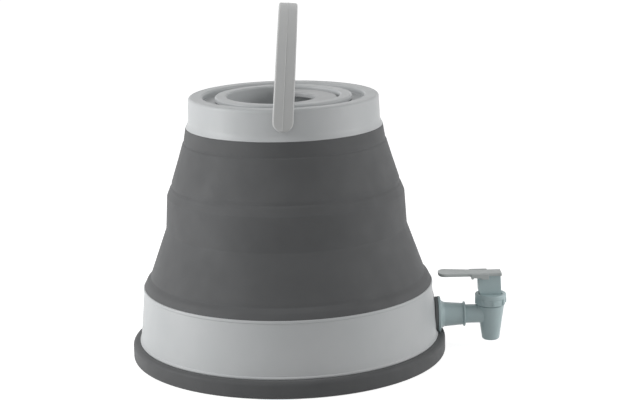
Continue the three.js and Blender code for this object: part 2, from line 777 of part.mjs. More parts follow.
// Tap body: pipe with spigot, tapered spout, valve seat and chamber.
function tapBody() {
  const spout = turned([
    [0, spoutTipHeight],
    [spoutTipRadius - spoutEdgeRound, spoutTipHeight],
    [spoutTipRadius, spoutTipHeight + spoutEdgeRound],
    [bodyTopRadius, bodyTopZ],
    [bodyNeckRadius, bodyTopZ],
    [bodyNeckRadius, bonnetFloorZ],
    [0, bonnetFloorZ],
  ], smallFacets).translate(tapAxisX, 0, 0);
  const pipe = turnedAlongX([
    [0, ringX - socketDepth + seatGap],
    [spigotRadius, ringX - socketDepth + seatGap],
    [spigotRadius, pipeX],
    [pipeRadius, pipeX],
    [pipeRadius, tapAxisX],
    [0, tapAxisX],
  ]).translate(0, 0, tapHeight);
  const chamber = turned([
    [0, seatZ],
    [spoutBore + seatWall, seatZ],
    [spoutBore + seatWall, seatZ - seatStep],
    [chamberRadius - chamberFloorStep, seatZ - seatStep],
    [chamberRadius, seatZ],
    [chamberRadius, bonnetFloorZ + cutOverrun],
    [0, bonnetFloorZ + cutOverrun],
  ], smallFacets).translate(tapAxisX, 0, 0);
  const outlet = rod(spoutBore, spoutTipHeight - cutOverrun, seatZ + cutOverrun);
  const bore = rodAlongX(pipeBore, ringX - socketDepth - cutOverrun, tapAxisX).translate(0, 0, tapHeight);
  const grooveRadius = oRingBore - oRingGrooveGap;
  const oRingGroove = turnedAlongX([
    [grooveRadius, oRingX - seatGap],
    [spigotRadius + cutOverrun, oRingX - seatGap],
    [spigotRadius + cutOverrun, oRingX + oRingWidth + seatGap],
    [grooveRadius, oRingX + oRingWidth + seatGap],
  ]).translate(0, 0, tapHeight);
  return cut(joined(spout, pipe), chamber, outlet.translate(tapAxisX, 0, 0), bore, oRingGroove);
}

// Bonnet: screwed cap with grip ribs and a recessed mouth for the lever's hub.
function tapBonnet() {
  const skirtBore = bodyNeckRadius + seatGap;
  const stemBore = stemRadius + seatGap;
  const cap = turned([
    [skirtBore, bonnetZ],
    [bonnetBottomRadius, bonnetZ],
    [bonnetTopRadius, bonnetTopZ - bonnetRound],
    [bonnetTopRadius - bonnetRound / 2, bonnetTopZ],
    [mouthRadius, bonnetTopZ],
    [mouthRadius, mouthZ],
    [stemBore, mouthZ],
    [stemBore, bonnetFloorZ],
    [skirtBore, bonnetFloorZ],
  ], smallFacets);
  const ribs = [];
  for (let i = 0; i < bonnetRibCount; i += 1) {
    const turn = degrees(bonnetRibTurnDegrees + (360 * i) / bonnetRibCount);
    const rib = block(
      [bonnetBottomRadius - bonnetRibWidth, -bonnetRibWidth / 2, bonnetZ + bonnetRound],
      [bonnetTopRadius + bonnetRibProud, bonnetRibWidth / 2, bonnetTopZ - 2 * bonnetRound],
    );
    ribs.push(rib.rotateZ(turn));
  }
  return joined(cap, ...ribs);
}

// Stem: stud for the seat cup, spring disc, rod and a flat tongue as thick as the rod.
const tongueThickness = 2 * stemRadius;

function tapStem() {
  const shaft = turned([
    [0, discZ - stemStudLength],
    [stemStudRadius, discZ - stemStudLength],
    [stemStudRadius, discZ],
    [stemDiscRadius, discZ],
    [stemDiscRadius, springZ],
    [stemRadius, springZ],
    [stemRadius, tongueBottomZ + cutOverrun],
    [0, tongueBottomZ + cutOverrun],
  ], smallFacets);
  const tongue = block(
    [-tongueWidth / 2, -tongueThickness / 2, tongueBottomZ],
    [tongueWidth / 2, tongueThickness / 2, tongueTopZ],
  );
  const reach = tongueThickness / 2 + cutOverrun;
  const hole = rodAlongY(leverPinRadius + seatGap, -reach, reach, smallFacets / 2);
  return cut(joined(shaft, tongue), hole.translate(0, 0, leverPinZ)).translate(tapAxisX, 0, 0);
}

function seatCup() {
  const holeFloorZ = discZ - stemStudLength - seatGap;
  const bore = stemStudRadius + seatGap;
  return turned([
    [0, seatZ],
    [cupRadius, seatZ],
    [cupRadius, seatZ + cupHeight / 3],
    [stemDiscRadius, discZ],
    [bore, discZ],
    [bore, holeFloorZ],
    [0, holeFloorZ],
  ], smallFacets).translate(tapAxisX, 0, 0);
}

// Spring: one open helix of round wire, its coils clear of each other.
function stemSpring() {
  const low = springZ + springWireRadius + seatGap;
  const high = bonnetFloorZ - springWireRadius - seatGap;
  const steps = springTurns * springSteps;
  const rings = [];
  for (let i = 0; i <= steps; i += 1) {
    const angle = (2 * Math.PI * i) / springSteps;
    const z = low + ((high - low) * i) / steps;
    const ring = [];
    for (let j = 0; j < springSides; j += 1) {
      const around = (2 * Math.PI * j) / springSides;
      const r = springRadius + springWireRadius * Math.cos(around);
      const height = z + springWireRadius * Math.sin(around);
      ring.push([r * Math.cos(angle), r * Math.sin(angle), height]);
    }
    rings.push(ring);
  }
  return lofted(rings.reverse()).translate(tapAxisX, 0, 0);
}

// Lever hub: a block with its back heel cut off, slotted for the stem's tongue.
function leverHub() {
  const outline = new THREE.Shape();
  outline.moveTo(-hubBack + hubChamferLength, hubBottomZ);
  outline.lineTo(hubFront, hubBottomZ);
  outline.lineTo(hubFront, hubTopZ);
  outline.lineTo(-hubBack, hubTopZ);
  outline.lineTo(-hubBack, hubBottomZ + hubChamferHeight);
  const hub = acrossY(outline, hubWidth);
  const slotHalf = tongueThickness / 2 + seatGap;
  const slotReach = tongueWidth / 2 + hubSlotRoom;
  const slot = block(
    [-slotReach, -slotHalf, hubBottomZ - cutOverrun],
    [slotReach, slotHalf, tongueTopZ + hubSlotRoom],
  );
  const reach = hubWidth / 2 + cutOverrun;
  const hole = rodAlongY(leverPinRadius + seatGap, -reach, reach, smallFacets / 2);
  return cut(hub, slot, hole.translate(0, 0, leverPinZ)).translate(tapAxisX, 0, 0);
}

// Paddle: a flat strap that widens and rises a little from the hub to its round tip.
const paddleTopZ = hubTopZ + paddleThickness;

function leverPaddle() {
  const root = paddleRootWidth / 2;
  const neck = paddleNeckWidth / 2;
  const tip = paddleTipWidth / 2;
  const plan = new THREE.Shape();
  plan.moveTo(hubFront, -root);
  plan.lineTo(hubFront, root);
  plan.lineTo(-clipBack, neck);
  plan.lineTo(-paddleReach + tip, tip);
  plan.absarc(-paddleReach + tip, 0, tip, Math.PI / 2, (3 * Math.PI) / 2, false);
  plan.lineTo(-clipBack, -neck);
  const side = new THREE.Shape();
  side.moveTo(hubFront + cutOverrun, hubTopZ);
  side.lineTo(hubFront + cutOverrun, paddleTopZ);
  side.lineTo(-hubBack, paddleTopZ);
  side.lineTo(-paddleReach + tip, paddleTopZ + paddleTipRise);
  side.lineTo(-paddleReach - cutOverrun, paddleTopZ + paddleTipRise - paddleEdgeDrop);
  side.lineTo(-paddleReach - cutOverrun, hubTopZ + paddleTipRise);
  side.lineTo(-hubBack, hubTopZ);
  return shared(
    upright(plan, hubTopZ - cutOverrun, paddleThickness + paddleTipRise + 2 * cutOverrun),
    acrossY(side, paddleTipWidth + 2 * cutOverrun),
  ).translate(tapAxisX, 0, 0);
}

// Clip: a sleeve that holds the paddle from below, with cheeks beside the hub and a small leg behind.
function leverClip() {
  const inside = paddleNeckWidth / 2 + seatGap;
  const floorZ = hubTopZ - clipFloor;
  const lowZ = floorZ - Math.max(clipLegDrop, clipCheekDrop);
  const cheek = new THREE.Shape();
  cheek.moveTo(-clipBack, floorZ - clipLegDrop);
  cheek.lineTo(-clipBack + clipLegLength, floorZ - clipLegDrop);
  cheek.lineTo(-clipBack + clipLegLength, floorZ);
  cheek.lineTo(-clipFront - clipCheekLength, floorZ);
  cheek.lineTo(-clipFront - clipCheekLength, floorZ - clipCheekDrop);
  cheek.lineTo(-clipFront, floorZ - clipCheekDrop);
  cheek.lineTo(-clipFront, paddleTopZ);
  cheek.lineTo(-clipBack, paddleTopZ);
  const channel = block(
    [-clipBack - cutOverrun, -inside, hubTopZ],
    [-clipFront + cutOverrun, inside, paddleTopZ + cutOverrun],
  );
  const hubRoom = block(
    [-hubBack - seatGap, -hubWidth / 2 - seatGap, lowZ - cutOverrun],
    [-clipFront + cutOverrun, hubWidth / 2 + seatGap, hubTopZ + cutOverrun],
  );
  return cut(acrossY(cheek, 2 * (inside + clipWall)), channel, hubRoom).translate(tapAxisX, 0, 0);
}

function leverPin() {
  const reach = hubWidth / 2 - seatGap;
  return rodAlongY(leverPinRadius, -reach, reach, smallFacets / 2).translate(tapAxisX, 0, leverPinZ);
}

// Assembly of the body.
place("foot_pan", footPan(), footRubber());
place("base_tub", baseTub(), lightPlastic());
place("bellows", bellows(), darkSilicone());
const lowerClampInner = lowerBeadOuter - beadTubeWall;
place("lower_clamp_ring", clampRing(lowerClampInner, tubSeatRadius, lowerBeadZ, tubRimZ), lightPlastic());
const upperClampInner = upperBeadOuter - beadTubeWall;
place("upper_clamp_ring", clampRing(upperClampInner, collarSeatRadius, upperBeadZ, collarZ), lightPlastic());
place("collar", collar(), lightPlastic());

// Assembly of the lid.
place("lid_gasket", lidGasket(), blackRubber());
place("lid", lid(), lightPlastic());
place("lid_grip", lidGrip(), lightPlastic());
place("lid_grip_pin_front", lidGripPin(-1), lightPlastic());
place("lid_grip_pin_rear", lidGripPin(1), lightPlastic());

// Assembly of the bail: it stands a little past upright, as in use.
const bailPivot = new THREE.Group();
bailPivot.position.z = pivotZ;
bailPivot.rotation.y = degrees(bailLeanDegrees);
carrier.add(bailPivot);
place("bail_handle", bailHandle(), handlePlastic(), bailPivot);
place("bail_pin_front", bailPin(-1).translate(0, 0, pivotZ), lightPlastic());
place("bail_pin_rear", bailPin(1).translate(0, 0, pivotZ), lightPlastic());

// Assembly of the tap: pieces on its level line share one group.
const tapLine = new THREE.Group();
tapLine.position.z = tapHeight;
carrier.add(tapLine);
place("tap_outer_seal", sealRing(spotFaceX, flangeX), blackRubber(), tapLine);
place("tap_inner_seal", sealRing(innerFaceX - innerSealThickness, innerFaceX), blackRubber(), tapLine);
place("tap_shank", tapShank(), tapPlastic(), tapLine);
place("tap_lock_nut", lockNut(), tapPlastic(), tapLine);
place("tap_stop_ring", stopRing(), tapPlastic(), tapLine);
place("tap_pipe_o_ring", pipeORing(), blackRubber(), tapLine);
place("tap_body", tapBody(), tapPlastic());
place("tap_bonnet", tapBonnet().translate(tapAxisX, 0, 0), tapPlastic());
place("tap_stem", tapStem(), tapPlastic());
place("tap_seat_cup", seatCup(), blackRubber());
place("tap_spring", stemSpring(), springSteel());
place("tap_lever_hub", leverHub(), tapPlastic());
place("tap_lever_paddle", leverPaddle(), tapPlastic());
place("tap_lever_clip", leverClip(), tapPlastic());
place("tap_lever_pin", leverPin(), springSteel());

export default carrier;
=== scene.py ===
# %% [markdown]
# # A collapsible water carrier
#
# The real object is a round water carrier that folds flat. A hard pale tub stands in a soft
# dark foot, a thick silicone wall rises from it in folding panels, and a hard collar on top
# holds a screw lid and a swinging bail. A small lever tap goes through the side of the tub.
#
# This lesson dresses that carrier for a picture. The engineering model is loaded first and
# never changed: it gives every size and every moving body. Each piece that shows is then made
# again with fine rounds and a real finish, and it is told which body it moves with.

# %% Load the engineering model
import json
import math

import bmesh
import bpy
from mathutils import Matrix, Vector


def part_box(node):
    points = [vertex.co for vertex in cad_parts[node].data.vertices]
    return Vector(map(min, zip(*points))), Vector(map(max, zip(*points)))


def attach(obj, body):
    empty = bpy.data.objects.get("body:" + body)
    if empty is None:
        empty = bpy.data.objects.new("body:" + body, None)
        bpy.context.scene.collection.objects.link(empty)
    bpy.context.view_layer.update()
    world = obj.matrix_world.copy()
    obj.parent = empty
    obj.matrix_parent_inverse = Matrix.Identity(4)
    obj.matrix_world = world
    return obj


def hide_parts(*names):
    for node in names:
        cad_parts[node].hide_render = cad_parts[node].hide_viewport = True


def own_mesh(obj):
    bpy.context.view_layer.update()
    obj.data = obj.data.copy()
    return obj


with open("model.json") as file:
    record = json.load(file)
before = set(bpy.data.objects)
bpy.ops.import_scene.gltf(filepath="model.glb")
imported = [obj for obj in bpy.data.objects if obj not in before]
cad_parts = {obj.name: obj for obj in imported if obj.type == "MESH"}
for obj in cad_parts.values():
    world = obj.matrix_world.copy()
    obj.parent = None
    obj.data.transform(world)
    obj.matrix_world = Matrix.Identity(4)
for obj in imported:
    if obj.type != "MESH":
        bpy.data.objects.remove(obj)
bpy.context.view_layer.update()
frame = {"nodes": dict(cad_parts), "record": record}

# %% [markdown]
# ## Sizes
#
# A maker thinks of this carrier in millimetres, while Blender counts in metres. Blender's unit
# setting would only change what its window shows. So all values in this lesson are written in
# millimetres and are turned into metres at the last moment, when points are made. The main
# sizes are read off the engineering model's own pieces, so the dressed pieces always fit it.

# %% Read the main sizes
MM = 0.001


def corners_of(node):
    """The lowest and highest corners of one engineering piece, in millimetres."""
    low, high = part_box(node)
    return low / MM, high / MM


foot_top = corners_of("foot_pan")[1].z
foot_radius = corners_of("foot_pan")[1].y
tub_low, tub_high = corners_of("base_tub")
collar_low, collar_high = corners_of("collar")
lid_low, lid_high = corners_of("lid")
rim_height = collar_high.z
tub_rim = tub_high.z
collar_edge = collar_low.z
print(f"the foot is {2 * foot_radius:.1f} mm across, and the rim {rim_height:.1f} mm high")

# %% [markdown]
# ## Camera
#
# The photograph looks slightly down on the carrier with a long lens, which keeps the rings
# flat and calm. The viewing angle was worked out from the rings themselves: a circle seen
# from the side is an ellipse, and how flat it is says how steeply we look. The bail's near
# pivot sits a little left of the far one, so the camera stands slightly to the right.
#
# A camera can be made to track a target, but then it stays level. Here it is aimed by three
# angles, a small turn, the tilt and a slight roll, because the picture leans a little.

# %% Place the camera
CAMERA_DISTANCE = 1456.8
CAMERA_HEIGHT = 455.1
CAMERA_SIDE = math.radians(0.65)
CAMERA_TURN = 0.019898 - CAMERA_SIDE
CAMERA_TILT = math.radians(12.485)
CAMERA_ROLL = -0.021612
LENS = 98.12
SENSOR_WIDTH = 36

camera_side_way = Vector((math.sin(CAMERA_SIDE), -math.cos(CAMERA_SIDE), 0))
camera_place = camera_side_way * CAMERA_DISTANCE + Vector((0, 0, CAMERA_HEIGHT))
level_right = Vector((math.cos(CAMERA_TURN), -math.sin(CAMERA_TURN), 0))
level_ahead = Vector((math.sin(CAMERA_TURN), math.cos(CAMERA_TURN), 0))
upward = Vector((0, 0, 1))
look = level_ahead * math.cos(CAMERA_TILT) - upward * math.sin(CAMERA_TILT)
above = level_ahead * math.sin(CAMERA_TILT) + upward * math.cos(CAMERA_TILT)
right = level_right * math.cos(CAMERA_ROLL) + above * math.sin(CAMERA_ROLL)
up = above * math.cos(CAMERA_ROLL) - level_right * math.sin(CAMERA_ROLL)

lens = bpy.data.cameras.new("photo_camera")
lens.lens = LENS
lens.sensor_width = SENSOR_WIDTH
camera = bpy.data.objects.new("photo_camera", lens)
turn = Matrix((right, up, -look)).transposed().to_4x4()
camera.matrix_world = Matrix.Translation(camera_place * MM) @ turn
bpy.context.scene.collection.objects.link(camera)
bpy.context.scene.camera = camera
print("camera looks along", [round(v, 3) for v in look])

# %% [markdown]
# ## Studio light
#
# The photograph is a plain studio picture on white. Its softest clue is the shading of the
# round walls: lightest at the left, darkest just right of the middle, and half light again at
# the right. So a large soft light stands at the left, a weaker one at the right, and the
# white room itself fills in the rest. A picture of a real studio could light the scene too,
# but two lamps are easier to steer and leave no pattern in the gloss.
#
# The room looks pure white to the camera, yet it lights the object only as much as a grey room
# would: the kind of ray tells the two apart.

# %% Light the room
ROOM_LIGHT = 0.37
TONE_CURVE = "Standard"


def seen_directly(nodes, links):
    """A value that is 1 for rays that show the room itself, straight or by gloss or glass."""
    ray = nodes.new("ShaderNodeLightPath")
    glossy = nodes.new("ShaderNodeMath")
    glossy.operation = "MAXIMUM"
    links.new(ray.outputs["Is Camera Ray"], glossy.inputs[0])
    links.new(ray.outputs["Is Glossy Ray"], glossy.inputs[1])
    either = nodes.new("ShaderNodeMath")
    either.operation = "MAXIMUM"
    links.new(glossy.outputs[0], either.inputs[0])
    links.new(ray.outputs["Is Transmission Ray"], either.inputs[1])
    return either.outputs[0]


room = bpy.data.worlds.new("white_room")
room.use_nodes = True
room_nodes = room.node_tree.nodes
room_links = room.node_tree.links
shown = room_nodes["Background"]
shown.inputs["Color"].default_value = (1, 1, 1, 1)
shown.inputs["Strength"].default_value = 1
felt = room_nodes.new("ShaderNodeBackground")
felt.inputs["Color"].default_value = (1, 1, 1, 1)
felt.inputs["Strength"].default_value = ROOM_LIGHT
either_room = room_nodes.new("ShaderNodeMixShader")
room_links.new(seen_directly(room_nodes, room_links), either_room.inputs[0])
room_links.new(felt.outputs[0], either_room.inputs[1])
room_links.new(shown.outputs[0], either_room.inputs[2])
room_links.new(either_room.outputs[0], room_nodes["World Output"].inputs["Surface"])
bpy.context.scene.world = room
bpy.context.scene.view_settings.view_transform = TONE_CURVE
print("room light", ROOM_LIGHT)

# %% Hang the soft lights
LIGHT_TARGET = Vector((0, 0, 120))


def soft_light(name, place, width, height, watts):
    """A large rectangular lamp at a place in millimetres, turned towards the carrier."""
    lamp = bpy.data.lights.new(name, "AREA")
    lamp.shape = "RECTANGLE"
    lamp.size = width * MM
    lamp.size_y = height * MM
    lamp.energy = watts
    holder = bpy.data.objects.new(name, lamp)
    aim = LIGHT_TARGET - Vector(place)
    holder.rotation_euler = aim.to_track_quat("-Z", "Y").to_euler()
    holder.location = Vector(place) * MM
    bpy.context.scene.collection.objects.link(holder)
    return holder


left_light = soft_light("left_light", (-1500, -280, 620), 650, 1400, 19)
right_light = soft_light("right_light", (1500, -120, 520), 1000, 1200, 10.6)
print("lights:", left_light.name, right_light.name)

# %% [markdown]
# ## Floor
#
# The floor is one pale sheet that fades into the white room. A studio would bend its paper up
# at the back, but with a white room behind it a flat sheet needs no bend. It glows only where
# it is looked at or mirrored, so that it looks as white as the room. It still takes the
# carrier's soft shadow, which tells the eye that the carrier stands on something. Its own
# colour is a light grey, because a white floor would throw more light up at the walls and wash
# out the folds.

# %% Lay the floor
FLOOR_HALF = 5000
FLOOR_DROP = 0.2
FLOOR_GLOW = 0.8
FLOOR_GREY = 0.68
FLOOR_ROUGHNESS = 0.9

sheet_corners = [(-1, -1), (1, -1), (1, 1), (-1, 1)]
floor_mesh = bpy.data.meshes.new("floor")
floor_points = [Vector((x * FLOOR_HALF, y * FLOOR_HALF, -FLOOR_DROP)) * MM for x, y in sheet_corners]
floor_mesh.from_pydata(floor_points, [], [range(len(floor_points))])
floor = bpy.data.objects.new("floor", floor_mesh)
bpy.context.scene.collection.objects.link(floor)

paper = bpy.data.materials.new("floor_paper")
paper.use_nodes = True
paper_nodes = paper.node_tree.nodes
paper_links = paper.node_tree.links
paper_shader = paper_nodes["Principled BSDF"]
paper_shader.inputs["Base Color"].default_value = (FLOOR_GREY, FLOOR_GREY, FLOOR_GREY, 1)
paper_shader.inputs["Roughness"].default_value = FLOOR_ROUGHNESS
paper_shader.inputs["Specular IOR Level"].default_value = 0
paper_shader.inputs["Emission Color"].default_value = (1, 1, 1, 1)
glow = paper_nodes.new("ShaderNodeMath")
glow.operation = "MULTIPLY"
glow.inputs[1].default_value = FLOOR_GLOW
paper_links.new(seen_directly(paper_nodes, paper_links), glow.inputs[0])
paper_links.new(glow.outputs[0], paper_shader.inputs["Emission Strength"])
floor_mesh.materials.append(paper)
print("floor laid", FLOOR_DROP, "mm under the foot")

# %% [markdown]
# ## Finishes
#
# Moulded plastic is never one flat colour. Its tone drifts very slightly where the melt
# flowed, its gloss changes over a few millimetres, and its skin copies the fine grain of the
# mould. All this could be painted on a picture and wrapped round each piece, but a wrap has
# seams. Here each is a soft pattern in space, measured on the piece itself, so it has no seams
# and stays in place when a piece moves. What is the same all over is set on the shader.

# %% A bare finish and a soft pattern
def screen_tone(red, green, blue):
    """A colour as it looks on a screen, from 0 to 255, in the linear numbers a shader uses."""
    return (*(((step / 255 + 0.055) / 1.055) ** 2.4 for step in (red, green, blue)), 1.0)


def new_finish(name, reflections):
    """An empty finish and its shader, with the strength of its reflections set."""
    finish = bpy.data.materials.new(name)
    finish.use_nodes = True
    shader = finish.node_tree.nodes["Principled BSDF"]
    shader.inputs["Specular IOR Level"].default_value = reflections
    return finish, shader


def pattern(finish, size, detail):
    """A soft cloud pattern whose patches are about size millimetres across."""
    nodes = finish.node_tree.nodes
    place = nodes.new("ShaderNodeTexCoord")
    cloud = nodes.new("ShaderNodeTexNoise")
    cloud.inputs["Scale"].default_value = 1 / (size * MM)
    cloud.inputs["Detail"].default_value = detail
    finish.node_tree.links.new(place.outputs["Object"], cloud.inputs["Vector"])
    return cloud.outputs["Fac"]


print("a middle grey on the screen is", [round(part, 3) for part in screen_tone(128, 128, 128)])

# %% Tone, gloss and grain
PATTERN_LOW = 0.3
PATTERN_HIGH = 0.7
TONE_DETAIL = 4
GLOSS_DETAIL = 3
GRAIN_DETAIL = 2


def drifting_tone(finish, shader, deep, light, size):
    """The colour drifts between two near tones."""
    ramp = finish.node_tree.nodes.new("ShaderNodeValToRGB")
    ramp.color_ramp.elements[0].position = PATTERN_LOW
    ramp.color_ramp.elements[0].color = screen_tone(*deep)
    ramp.color_ramp.elements[1].position = PATTERN_HIGH
    ramp.color_ramp.elements[1].color = screen_tone(*light)
    finish.node_tree.links.new(pattern(finish, size, TONE_DETAIL), ramp.inputs["Fac"])
    finish.node_tree.links.new(ramp.outputs["Color"], shader.inputs["Base Color"])


def drifting_gloss(finish, shader, smooth, rough, size):
    """The roughness drifts between two values."""
    span = finish.node_tree.nodes.new("ShaderNodeMapRange")
    span.inputs["From Min"].default_value = PATTERN_LOW
    span.inputs["From Max"].default_value = PATTERN_HIGH
    span.inputs["To Min"].default_value = smooth
    span.inputs["To Max"].default_value = rough
    finish.node_tree.links.new(pattern(finish, size, GLOSS_DETAIL), span.inputs["Value"])
    finish.node_tree.links.new(span.outputs["Result"], shader.inputs["Roughness"])


def fine_grain(finish, shader, size, height, strength):
    """The skin's fine grain: bumps of a given size and height in millimetres."""
    bump = finish.node_tree.nodes.new("ShaderNodeBump")
    bump.inputs["Distance"].default_value = height * MM
    bump.inputs["Strength"].default_value = strength
    finish.node_tree.links.new(pattern(finish, size, GRAIN_DETAIL), bump.inputs["Height"])
    finish.node_tree.links.new(bump.outputs["Normal"], shader.inputs["Normal"])


print("patterns run from", PATTERN_LOW, "to", PATTERN_HIGH)

# %% [markdown]
# ### Pale satin plastic
#
# The tub, the collar and the lid are moulded in one pale grey, a hint cooler than neutral,
# with a satin skin. Two greys only a few steps apart are enough: more would look like dirt.
# The fold-down grip is given a tone a shade darker than the body, and a smoother skin.

# %% Pale plastic and grip plastic
def pale_plastic():
    finish, shader = new_finish("pale_satin_plastic", reflections=0.4)
    drifting_tone(finish, shader, deep=(187, 190, 191), light=(193, 195, 196), size=42)
    drifting_gloss(finish, shader, smooth=0.4, rough=0.5, size=16)
    fine_grain(finish, shader, size=0.45, height=0.02, strength=0.25)
    return finish


def grip_plastic():
    finish, shader = new_finish("grip_satin_plastic", reflections=0.4)
    drifting_tone(finish, shader, deep=(175, 177, 178), light=(181, 182, 183), size=30)
    drifting_gloss(finish, shader, smooth=0.36, rough=0.46, size=12)
    fine_grain(finish, shader, size=0.45, height=0.02, strength=0.25)
    return finish


pale = pale_plastic()
grip_finish = grip_plastic()
print(pale.name, grip_finish.name)

# %% [markdown]
# ### Bail plastic
#
# The bail is nearly as pale as the collar, but its grey is neutral where the collar's is a
# hint cool, and it has a little more gloss, because hands polish it. One finish could serve
# for both, but then the bail would melt into the collar behind it. So it gets its own tones.

# %% Bail plastic
def bail_plastic():
    finish, shader = new_finish("bail_satin_plastic", reflections=0.45)
    drifting_tone(finish, shader, deep=(188, 189, 189), light=(195, 196, 195), size=30)
    drifting_gloss(finish, shader, smooth=0.34, rough=0.46, size=12)
    fine_grain(finish, shader, size=0.5, height=0.02, strength=0.2)
    return finish


bail_finish = bail_plastic()
print(bail_finish.name)

# %% [markdown]
# ### Tap plastic
#
# The tap comes from another factory and another resin: a grey green, smoother and a little
# shinier than the body, so its round barrel and spout carry a soft streak of light. Its lever
# is greyer and a touch rougher.

# %% Tap plastic and lever plastic
def tap_plastic():
    finish, shader = new_finish("tap_grey_green_plastic", reflections=0.5)
    drifting_tone(finish, shader, deep=(181, 199, 201), light=(187, 205, 207), size=14)
    drifting_gloss(finish, shader, smooth=0.3, rough=0.42, size=7)
    fine_grain(finish, shader, size=0.4, height=0.015, strength=0.2)
    return finish


def lever_plastic():
    finish, shader = new_finish("lever_grey_plastic", reflections=0.5)
    drifting_tone(finish, shader, deep=(188, 194, 193), light=(194, 199, 198), size=14)
    drifting_gloss(finish, shader, smooth=0.32, rough=0.44, size=7)
    fine_grain(finish, shader, size=0.4, height=0.015, strength=0.2)
    return finish


tap_finish = tap_plastic()
lever_finish = lever_plastic()
print(tap_finish.name, lever_finish.name)

# %% [markdown]
# ### Silicone and rubber
#
# The folding wall is soft silicone with a dry, powdery skin. It hardly reflects, but at a
# grazing angle the powder catches light, which is what a touch of sheen does. The foot is the
# same family of material, a shade darker. The seals are a plainer and paler rubber.

# %% Silicone, foot rubber and seal rubber
SHEEN_ROUGHNESS = 0.5


def add_sheen(shader, weight):
    """The soft glow of a powdery skin at a grazing angle."""
    shader.inputs["Sheen Weight"].default_value = weight
    shader.inputs["Sheen Roughness"].default_value = SHEEN_ROUGHNESS


def wall_silicone():
    finish, shader = new_finish("dark_wall_silicone", reflections=0.22)
    add_sheen(shader, 0.12)
    drifting_tone(finish, shader, deep=(88, 89, 90), light=(94, 95, 96), size=38)
    drifting_gloss(finish, shader, smooth=0.6, rough=0.74, size=18)
    fine_grain(finish, shader, size=0.7, height=0.04, strength=0.3)
    return finish


def foot_rubber():
    finish, shader = new_finish("dark_foot_rubber", reflections=0.25)
    add_sheen(shader, 0.1)
    drifting_tone(finish, shader, deep=(82, 83, 84), light=(88, 89, 90), size=30)
    drifting_gloss(finish, shader, smooth=0.58, rough=0.72, size=14)
    fine_grain(finish, shader, size=0.8, height=0.05, strength=0.35)
    return finish


def seal_rubber():
    finish, shader = new_finish("dark_seal_rubber", reflections=0.3)
    drifting_tone(finish, shader, deep=(104, 107, 108), light=(112, 115, 116), size=8)
    drifting_gloss(finish, shader, smooth=0.6, rough=0.75, size=4)
    fine_grain(finish, shader, size=0.5, height=0.03, strength=0.3)
    return finish


silicone = wall_silicone()
foot_finish = foot_rubber()
seal_finish = seal_rubber()
print(silicone.name, foot_finish.name, seal_finish.name)

# %% [markdown]
# ### Steel
#
# The valve's spring and the lever's pin are drawn wire, bright and nearly even. A metal mostly
# shows what is around it, so its colour matters less than its gloss. The gloss changes within
# less than a millimetre here, since the spring's wire is only a millimetre thick.

# %% Drawn steel
def drawn_steel():
    finish, shader = new_finish("drawn_steel", reflections=0.5)
    shader.inputs["Metallic"].default_value = 1
    drifting_tone(finish, shader, deep=(176, 178, 180), light=(196, 198, 200), size=3)
    drifting_gloss(finish, shader, smooth=0.22, rough=0.38, size=0.8)
    fine_grain(finish, shader, size=0.3, height=0.01, strength=0.3)
    return finish


steel = drawn_steel()
print(steel.name)

# %% [markdown]
# ## Turning a piece
#
# Most of the carrier is round, so most pieces are turned: an outline of radius and height is
# swung about an axis, like clay on a wheel. Real mouldings have no sharp corners, so each
# corner of an outline is written with the round it gets, and one helper bends the corner into
# an arc. That keeps the outline short and makes the light roll over every edge.
#
# The Screw modifier can swing an outline as well. Making the rings point by point gives the
# same skin, closes it neatly at the axis, and works for upright and for level axes.

# %% Rounding an outline
ARC_STEP = math.radians(12)
NEARLY_STRAIGHT = math.radians(1)
MOST_OF_A_SIDE = 0.49
SHARP = 1e-6


def rounded(corners):
    """An outline from (radius, place, round) corners, with an arc in place of each corner."""
    outline = []
    for number, (radius, place, softness) in enumerate(corners):
        here = Vector((radius, place))
        before = Vector(corners[number - 1][:2]) - here
        after = Vector(corners[(number + 1) % len(corners)][:2]) - here
        bend = math.pi - before.angle(after)
        if softness < SHARP or bend < NEARLY_STRAIGHT:
            outline.append(tuple(here))
            continue
        room = MOST_OF_A_SIDE * before.length, MOST_OF_A_SIDE * after.length
        reach = min(softness * math.tan(bend / 2), *room)
        start = here + before.normalized() * reach
        finish = here + after.normalized() * reach
        steps = max(2, math.ceil(bend / ARC_STEP))
        middle = (before.normalized() + after.normalized()).normalized()
        fit = reach / math.tan(bend / 2)
        centre = here + middle * (fit / math.cos(bend / 2))
        arms = [start - centre, finish - centre]
        for step in range(steps + 1):
            share = step / steps
            blend = arms[0] * math.sin((1 - share) * bend) + arms[1] * math.sin(share * bend)
            outline.append(tuple(centre + blend / math.sin(bend)))
    return outline


small_square = [(0, 0, 0.2), (1, 0, 0.2), (1, 1, 0.2), (0, 1, 0.2)]
print("a square with rounded corners has", len(rounded(small_square)), "points")

# %% Faces and smooth skins
SMOOTH_ANGLE = math.radians(40)
FLAT_FACE_WEIGHT = 80


def add_face(shape, points):
    """A face through some points, where points that are the same count once."""
    distinct = list(dict.fromkeys(points))
    if len(distinct) > 2:
        shape.faces.new(distinct)


def bridge(shape, ring, following):
    """Faces between two rings of points, where either ring may be a single point."""
    count = max(len(ring), len(following))
    for step in range(count):
        after = (step + 1) % count
        points = [ring[step % len(ring)], ring[after % len(ring)]]
        points += [following[after % len(following)], following[step % len(following)]]
        add_face(shape, points)


def smooth_skin(piece):
    """Smooth shading that leaves real edges crisp and flat faces flat."""
    piece.data.shade_smooth()
    piece.data.set_sharp_from_angle(angle=SMOOTH_ANGLE)
    even = piece.modifiers.new("even_light", "WEIGHTED_NORMAL")
    even.keep_sharp = True
    even.weight = FLAT_FACE_WEIGHT
    return piece


